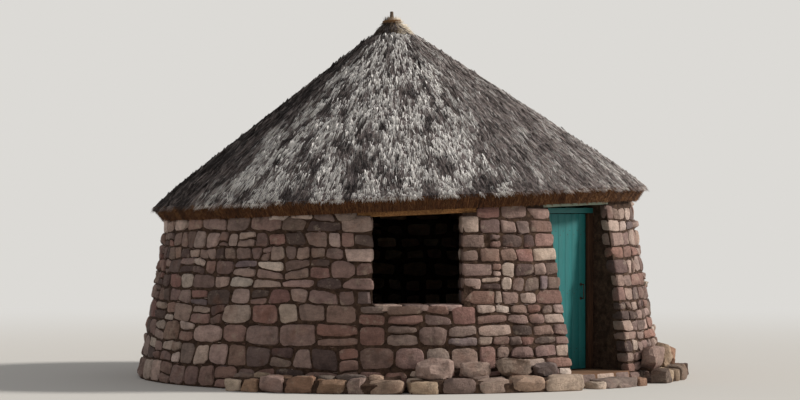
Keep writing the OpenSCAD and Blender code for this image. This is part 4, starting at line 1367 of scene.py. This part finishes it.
# The side painted with a silver sheen, standing in for light glancing off the straws, and the side painted
# darker as shade
OLD = {"straw": old_straw, "clump": 15.0, "weather": (cos(radians(210)), sin(radians(210)), 0),
       "damp": (cos(radians(133)), sin(radians(133)), 0)}
for seed, (ring, (outline, long)) in enumerate(RINGS.items()):
    thatched("thatch_%s_tufts" % ring, lathe_skin(*outline), thatching, **OLD, tufts=loose, density=500.0,
             shortest=0.18 * long, longest=0.3 * long, width=1.0, lift=0.07, stray=0.15, patch=across(600),
             silver=1.0, seed=seed + 11)
    thatched("thatch_%s_locks" % ring, lathe_skin(*outline), thatching, **OLD, tufts=locks, density=120.0,
             shortest=0.16 * long, longest=0.27 * long, width=1.5, lift=0.19, stray=0.24, patch=across(600),
             silver=1.3, seed=seed + 21)
thatched("thatch_edge_tufts", lathe_skin(*slope_outline(EAVE_S - 0.012, EAVE_S - EDGE, 3)), thatching, **OLD,
         tufts=loose, density=1100.0, shortest=0.06, longest=0.12, width=0.9, lift=0.02, stray=0.2,
         patch=across(450), silver=1.2, seed=32)
thatched("thatch_cut_ends", lathe_skin(*eave_outline()), thatching, straw=warm_straw, tufts=loose,
         density=1300.0, shortest=0.02, longest=0.05, width=0.55, lift=0.0, stray=0.3, patch=across(330),
         clump=26.0, weather=OLD["weather"], silver=0.0, seed=31)
for group in (loose, locks):
    for template in list(group.objects):
        bpy.data.objects.remove(template)
    bpy.data.collections.remove(group)


# The topknot and the pole, as the frame has them
TOPKNOT_R = 0.215
TOPKNOT_H = 0.13
FINIAL_H = 0.1
NECK_R = 0.095
KNOT_FOOT_Z = crown_z(TOPKNOT_R)
KNOT_TOP_Z = crown_z(0) + TOPKNOT_H
# World angle of the topknot's side painted lighter as if lit, towards which its straws also lean, and that of
# its side painted darker as shade
PAINTED_LIGHT_SIDE = radians(312)
PAINTED_SHADE_SIDE = radians(196)


def topknot_straws(count=950):
    """Straws gathered round the pole, tied at the neck and splayed over the crown: painted lighter on one
    side as light, and painted darker on the other as shade."""
    draw = np.random.default_rng(95)
    outline = np.array([(0.06, KNOT_TOP_Z), (NECK_R, KNOT_TOP_Z - 0.02), (NECK_R, KNOT_TOP_Z - 0.05),
                        (0.85 * TOPKNOT_R, (2 * KNOT_FOOT_Z + KNOT_TOP_Z) / 3), (TOPKNOT_R, KNOT_FOOT_Z)])
    place = draw.uniform(0, len(outline) - 1.001, count)
    step = place.astype(int)
    start = outline[step] + (outline[step + 1] - outline[step]) * (place - step)[:, None]
    way = outline[step + 1] - outline[step]
    way /= np.linalg.norm(way, axis=1, keepdims=True)
    turn = draw.uniform(0, TURN, count)
    pale = np.cos(turn - PAINTED_LIGHT_SIDE)
    dark = np.cos(turn - PAINTED_SHADE_SIDE)
    length = draw.uniform(0.06, 0.13, count) * (1 + 0.5 * (dark > 0.8))
    end = start + way * length[:, None]
    below = 0.2
    heights = np.concatenate([outline[:, 1], [KNOT_FOOT_Z - below]])
    reach = np.interp(-end[:, 1], -heights, np.append(outline[:, 0], TOPKNOT_R + below / tan(ROOF_PITCH)))
    end[:, 0] = np.minimum(end[:, 0], reach)
    end[:, 0] += draw.uniform(0.0, 0.025, count) + 0.03 * np.maximum(pale, 0) * draw.random(count)
    end[:, 1] += draw.uniform(0.0, 0.02, count) + 0.05 * np.maximum(pale, 0) * draw.random(count)
    swing = turn + draw.uniform(-0.16, 0.16, count)
    roots = np.stack([start[:, 0] * np.cos(turn), start[:, 0] * np.sin(turn), start[:, 1]], -1)
    tips = np.stack([end[:, 0] * np.cos(swing), end[:, 0] * np.sin(swing), end[:, 1]], -1)
    # Tones: painted light on one side and painted shade on the other
    return roots, tips, 0.55 + 0.38 * pale - 0.35 * (dark > 0.7), draw


def topknot():
    """The splayed straws, and the stubble of their butts that stands above the binding."""
    roots, tips, tones, draw = topknot_straws()
    count = 260
    turn = draw.uniform(0, TURN, count)
    r = draw.uniform(0.03, 0.085, count)
    out = r + draw.uniform(0.0, 0.035, count)
    foot = np.stack([r * np.cos(turn), r * np.sin(turn), np.full(count, KNOT_TOP_Z - 0.03)], -1)
    high = KNOT_TOP_Z + draw.uniform(0.0, 0.055, count)
    head = np.stack([out * np.cos(turn), out * np.sin(turn), high], -1)
    points, faces = spikes(settle(np.concatenate([roots, foot])), settle(np.concatenate([tips, head])),
                           draw.uniform(0.007, 0.013, len(roots) + count))
    piece = make_piece("topknot_straws", points, faces, pale_straw, sharp=ALL_SMOOTH)
    # The stubble's tones are painted lighter towards the lit side
    tones = np.concatenate([tones, 0.45 + 0.35 * np.cos(turn - PAINTED_LIGHT_SIDE)])
    shades = draw.random(len(tones))
    mark(piece.data, along=np.tile([0.2, 0.2, 0.2, 1], len(tones)), straw=np.repeat(shades, 4),
         tone=np.repeat(np.clip(tones, 0, 1), 4))
    fit(piece, "root", "new_straw")


def topknot_rope(strands=3, loops=3, around=96, twists=26, lay=0.0048, thick=0.0052):
    """Grass rope wound round the topknot's neck, its strands twisted about one another."""
    turn = np.linspace(0, TURN * loops, around * loops + 1)
    parts = []
    for strand in range(strands):
        spin = turn * twists / loops + strand * TURN / strands
        r = NECK_R + 0.008 + lay * np.cos(spin)
        rise = KNOT_TOP_Z - 0.026 + (turn / turn[-1] - 0.5) * 0.034 + lay * np.sin(spin)
        path = np.stack([r * np.cos(turn), r * np.sin(turn), rise], -1)
        parts.append(pole(settle(path), np.full((len(turn), 5), thick), 5))
    piece = gather("topknot_rope_twisted", parts, rope, ALL_SMOOTH)
    count = len(piece.data.vertices)
    mark(piece.data, along=np.full(count, 0.8), straw=np.random.default_rng(96).random(count),
         tone=np.full(count, 0.5))
    fit(piece, "root", "binding", "topknot_binding")


def finial(sides=12):
    """The pole at the peak: a hewn block under the thatch, and a weathered stem, crooked and knotty."""
    draw = np.random.default_rng(97)
    foot = section(slope_s(BLOCK_HEAD_R, PLATE_R), PLATE_R)[1] - 0.06
    top = section(slope_s(BLOCK_R, THATCH_N), THATCH_N)[1] - 0.005
    tip = KNOT_TOP_Z + FINIAL_H
    stations = [(foot, 0.046), (foot + 0.008, 0.052), (top - 0.008, 0.0515), (top, 0.047)]
    stations.append((top + 0.001, 0.024))
    steps = 14
    for i in range(steps + 1):
        share = i / steps
        knot = 0.003 * (abs(share - 0.82) < 0.05)
        stations.append((top + 0.005 + (tip - top - 0.012) * share, 0.0245 - 0.004 * share + knot))
    stations.append((tip, 0.013))
    turn = np.arange(sides) * TURN / sides
    rings = []
    for z, r in stations:
        share = max(z - KNOT_TOP_Z, 0) / FINIAL_H
        knotty = r * (1 + 0.05 * np.sin(3 * turn + 40 * z) + draw.uniform(-0.03, 0.03, sides))
        x = 0.004 * sin(31 * z) - 0.008 * share + knotty * np.cos(turn)
        y = 0.004 * cos(27 * z) - 0.004 * share + knotty * np.sin(turn)
        rings.append(np.stack([x, y, np.full(sides, z)], -1))
    faces = ring_faces(len(rings), sides) + [ring_cap(0, sides), ring_cap(len(rings) - 1, sides)]
    piece = make_piece("finial_pole_weathered", settle(np.concatenate(rings)), faces, grey_wood, sharp=40)
    fit(piece, "root", "pole_timber", "finial_pole")


rope = weathered_straw("grass rope, twisted", "3a2817", "6b4d2f", "96734a", 0.75)
grey_wood = wood("peeled pole, weathered grey", "3f3129", "857463", "z", 0.85, 10, 0.003)
topknot()
topknot_rope()
finial()


def parts_of(node):
    """Corners of the boxes of a CAD node's separate solids."""
    shape = bmesh.new()
    shape.from_mesh(frame["nodes"][node].data)
    bmesh.ops.remove_doubles(shape, verts=shape.verts, dist=1e-5)
    left = set(shape.verts)
    boxes = []
    while left:
        reached = [left.pop()]
        for vert in reached:
            for edge in vert.link_edges:
                other = edge.other_vert(vert)
                if other in left:
                    left.remove(other)
                    reached.append(other)
        spots = np.array([vert.co for vert in reached])
        boxes.append((spots.min(0), spots.max(0)))
    shape.free()
    return sorted(boxes, key=lambda box: tuple(box[0].round(3)))


def door_nails(r=0.0055, rise=0.0026, sides=8, apart=0.026):
    """Hand-made nails, two through each board into each ledge, with their domed heads on the outer face."""
    draw = np.random.default_rng(98)
    turn = np.arange(sides) * TURN / sides
    parts = []
    for board_low, board_high in parts_of("door_boards"):
        for ledge_low, ledge_high in parts_of("door_ledges"):
            for side in (-1, 1):
                x = (board_low[0] + board_high[0]) / 2 + side * apart + draw.uniform(-0.004, 0.004)
                z = (ledge_low[2] + ledge_high[2]) / 2 + side * 0.02 + draw.uniform(-0.006, 0.006)
                rings = [np.stack([x + wide * np.cos(turn), np.full(sides, board_low[1] - high),
                                   z + wide * np.sin(turn)], -1)
                         for wide, high in ((r, -0.0005), (r * 0.95, rise * 0.45), (r * 0.6, rise))]
                parts.append((np.concatenate(rings), ring_faces(3, sides) + [ring_cap(2, sides)]))
    fit(gather("door_nails_forged", parts, iron), "door", "iron")


door_nails()


def dress(material, *names):
    """Gives CAD nodes whose shape is right their finish."""
    for name in names:
        node = frame["nodes"][name]
        node.data.materials.clear()
        node.data.materials.append(material)
        for polygon in node.data.polygons:
            polygon.material_index = 0


thatch = packed_thatch()
dress(mortar, "wall_front_pier", "wall_below_window", "wall_left_front", "wall_left", "wall_left_back",
      "wall_back_left", "wall_back", "wall_back_right", "wall_right_back", "wall_right", "wall_right_front",
      "wall_front_right")
dress(earth, "earth_floor", "door_sill")
dress(iron, "hinge_pins", "hinge_straps", "door_pull")
dress(pole_wood, "ring_battens")
dress(thatch, "thatch_eave", "thatch_lower", "thatch_middle", "thatch_upper", "thatch_crown", "topknot")

# Colour of the backdrop, and the half-width of the floor under it
BACKDROP = "dcdad6"
FLOOR_REACH = 400
# The photograph's view: from where round the hut, how far off and how high the eye is, and how many pixels a
# metre takes at the hut in a picture this wide
VIEW_FROM = radians(222)
EYE_AWAY = 33.2
EYE_UP = 2.08
PIXELS_A_METRE = 84
PICTURE_WIDE = 800


def sees_backdrop(tree):
    """1 for the rays that show the backdrop: the camera's, and those off metal or through clear things."""
    path = add(tree, "ShaderNodeLightPath").outputs
    seen = add(tree, "ShaderNodeMath", {0: path["Is Camera Ray"], 1: path["Is Glossy Ray"]},
               operation="MAXIMUM")
    return add(tree, "ShaderNodeMath", {0: seen, 1: path["Is Transmission Ray"]}, operation="MAXIMUM")


def stage_floor():
    """A pale floor that runs out into the backdrop."""
    material, tree, shader, where = surface("studio floor", 0.9, 0.1)
    shader.inputs["Base Color"].default_value = paint("cfcbc4")
    flat = add(tree, "ShaderNodeVectorMath", {0: where, 1: (1, 1, 0)}, operation="MULTIPLY").outputs[0]
    far = add(tree, "ShaderNodeVectorMath", {0: flat}, operation="LENGTH").outputs["Value"]
    fade = add(tree, "ShaderNodeMapRange", {"Value": far, "From Min": 5.0, "From Max": 22.0},
               interpolation_type="SMOOTHSTEP").outputs[0]
    fade = add(tree, "ShaderNodeMath", {0: fade, 1: sees_backdrop(tree)}, operation="MULTIPLY").outputs[0]
    glow = add(tree, "ShaderNodeEmission", {"Color": paint(BACKDROP)}).outputs[0]
    mixed = add(tree, "ShaderNodeMixShader", {0: fade, 1: shader.outputs[0], 2: glow})
    output = next(node for node in tree.nodes if node.type == "OUTPUT_MATERIAL")
    tree.links.new(mixed.outputs[0], output.inputs["Surface"])
    mesh = bpy.data.meshes.new("stage_floor")
    corners = [(x * FLOOR_REACH, y * FLOOR_REACH, -0.002) for x, y in ((-1, -1), (1, -1), (1, 1), (-1, 1))]
    mesh.from_pydata(corners, [], [(0, 1, 2, 3)])
    mesh.materials.append(material)
    floor = in_scene("stage_floor", mesh)


def studio_light():
    """A soft sky all round and one broad lamp from the doorway's side, where the photograph's light is."""
    world = bpy.data.worlds.new("studio")
    bpy.context.scene.world = world
    world.use_nodes = True
    tree = world.node_tree
    tree.nodes.clear()
    sky = add(tree, "ShaderNodeBackground", {"Color": paint("eff0f3"), "Strength": 0.44}).outputs[0]
    wall = add(tree, "ShaderNodeBackground", {"Color": paint(BACKDROP), "Strength": 1.0}).outputs[0]
    mixed = add(tree, "ShaderNodeMixShader", {0: sees_backdrop(tree), 1: sky, 2: wall}).outputs[0]
    add(tree, "ShaderNodeOutputWorld", {"Surface": mixed})
    lamp = bpy.data.lights.new("key", "SUN")
    lamp.energy = 3.6
    lamp.angle = radians(9)
    lamp.color = (1.0, 0.975, 0.94)
    key = in_scene("key", lamp)
    at, up = radians(315), radians(31)
    towards = Vector((cos(at) * cos(up), sin(at) * cos(up), sin(up)))
    key.rotation_mode = "QUATERNION"
    key.rotation_quaternion = towards.to_track_quat("Z", "Y")
    key.location = towards * 20


def camera():
    """The photograph's view: level, at the height of the eye, from in front of the window."""
    data = bpy.data.cameras.new("camera")
    data.sensor_width = 36
    data.lens = data.sensor_width * (PIXELS_A_METRE * EYE_AWAY) / PICTURE_WIDE
    data.clip_end = 500
    eye = in_scene("camera", data)
    away = Vector((cos(VIEW_FROM), sin(VIEW_FROM), 0))
    eye.location = away * EYE_AWAY + Vector((0, 0, EYE_UP))
    eye.rotation_mode = "QUATERNION"
    eye.rotation_quaternion = away.to_track_quat("Z", "Y")
    bpy.context.scene.camera = eye


stage_floor()
studio_light()
camera()
bpy.context.scene.view_settings.view_transform = "Standard"
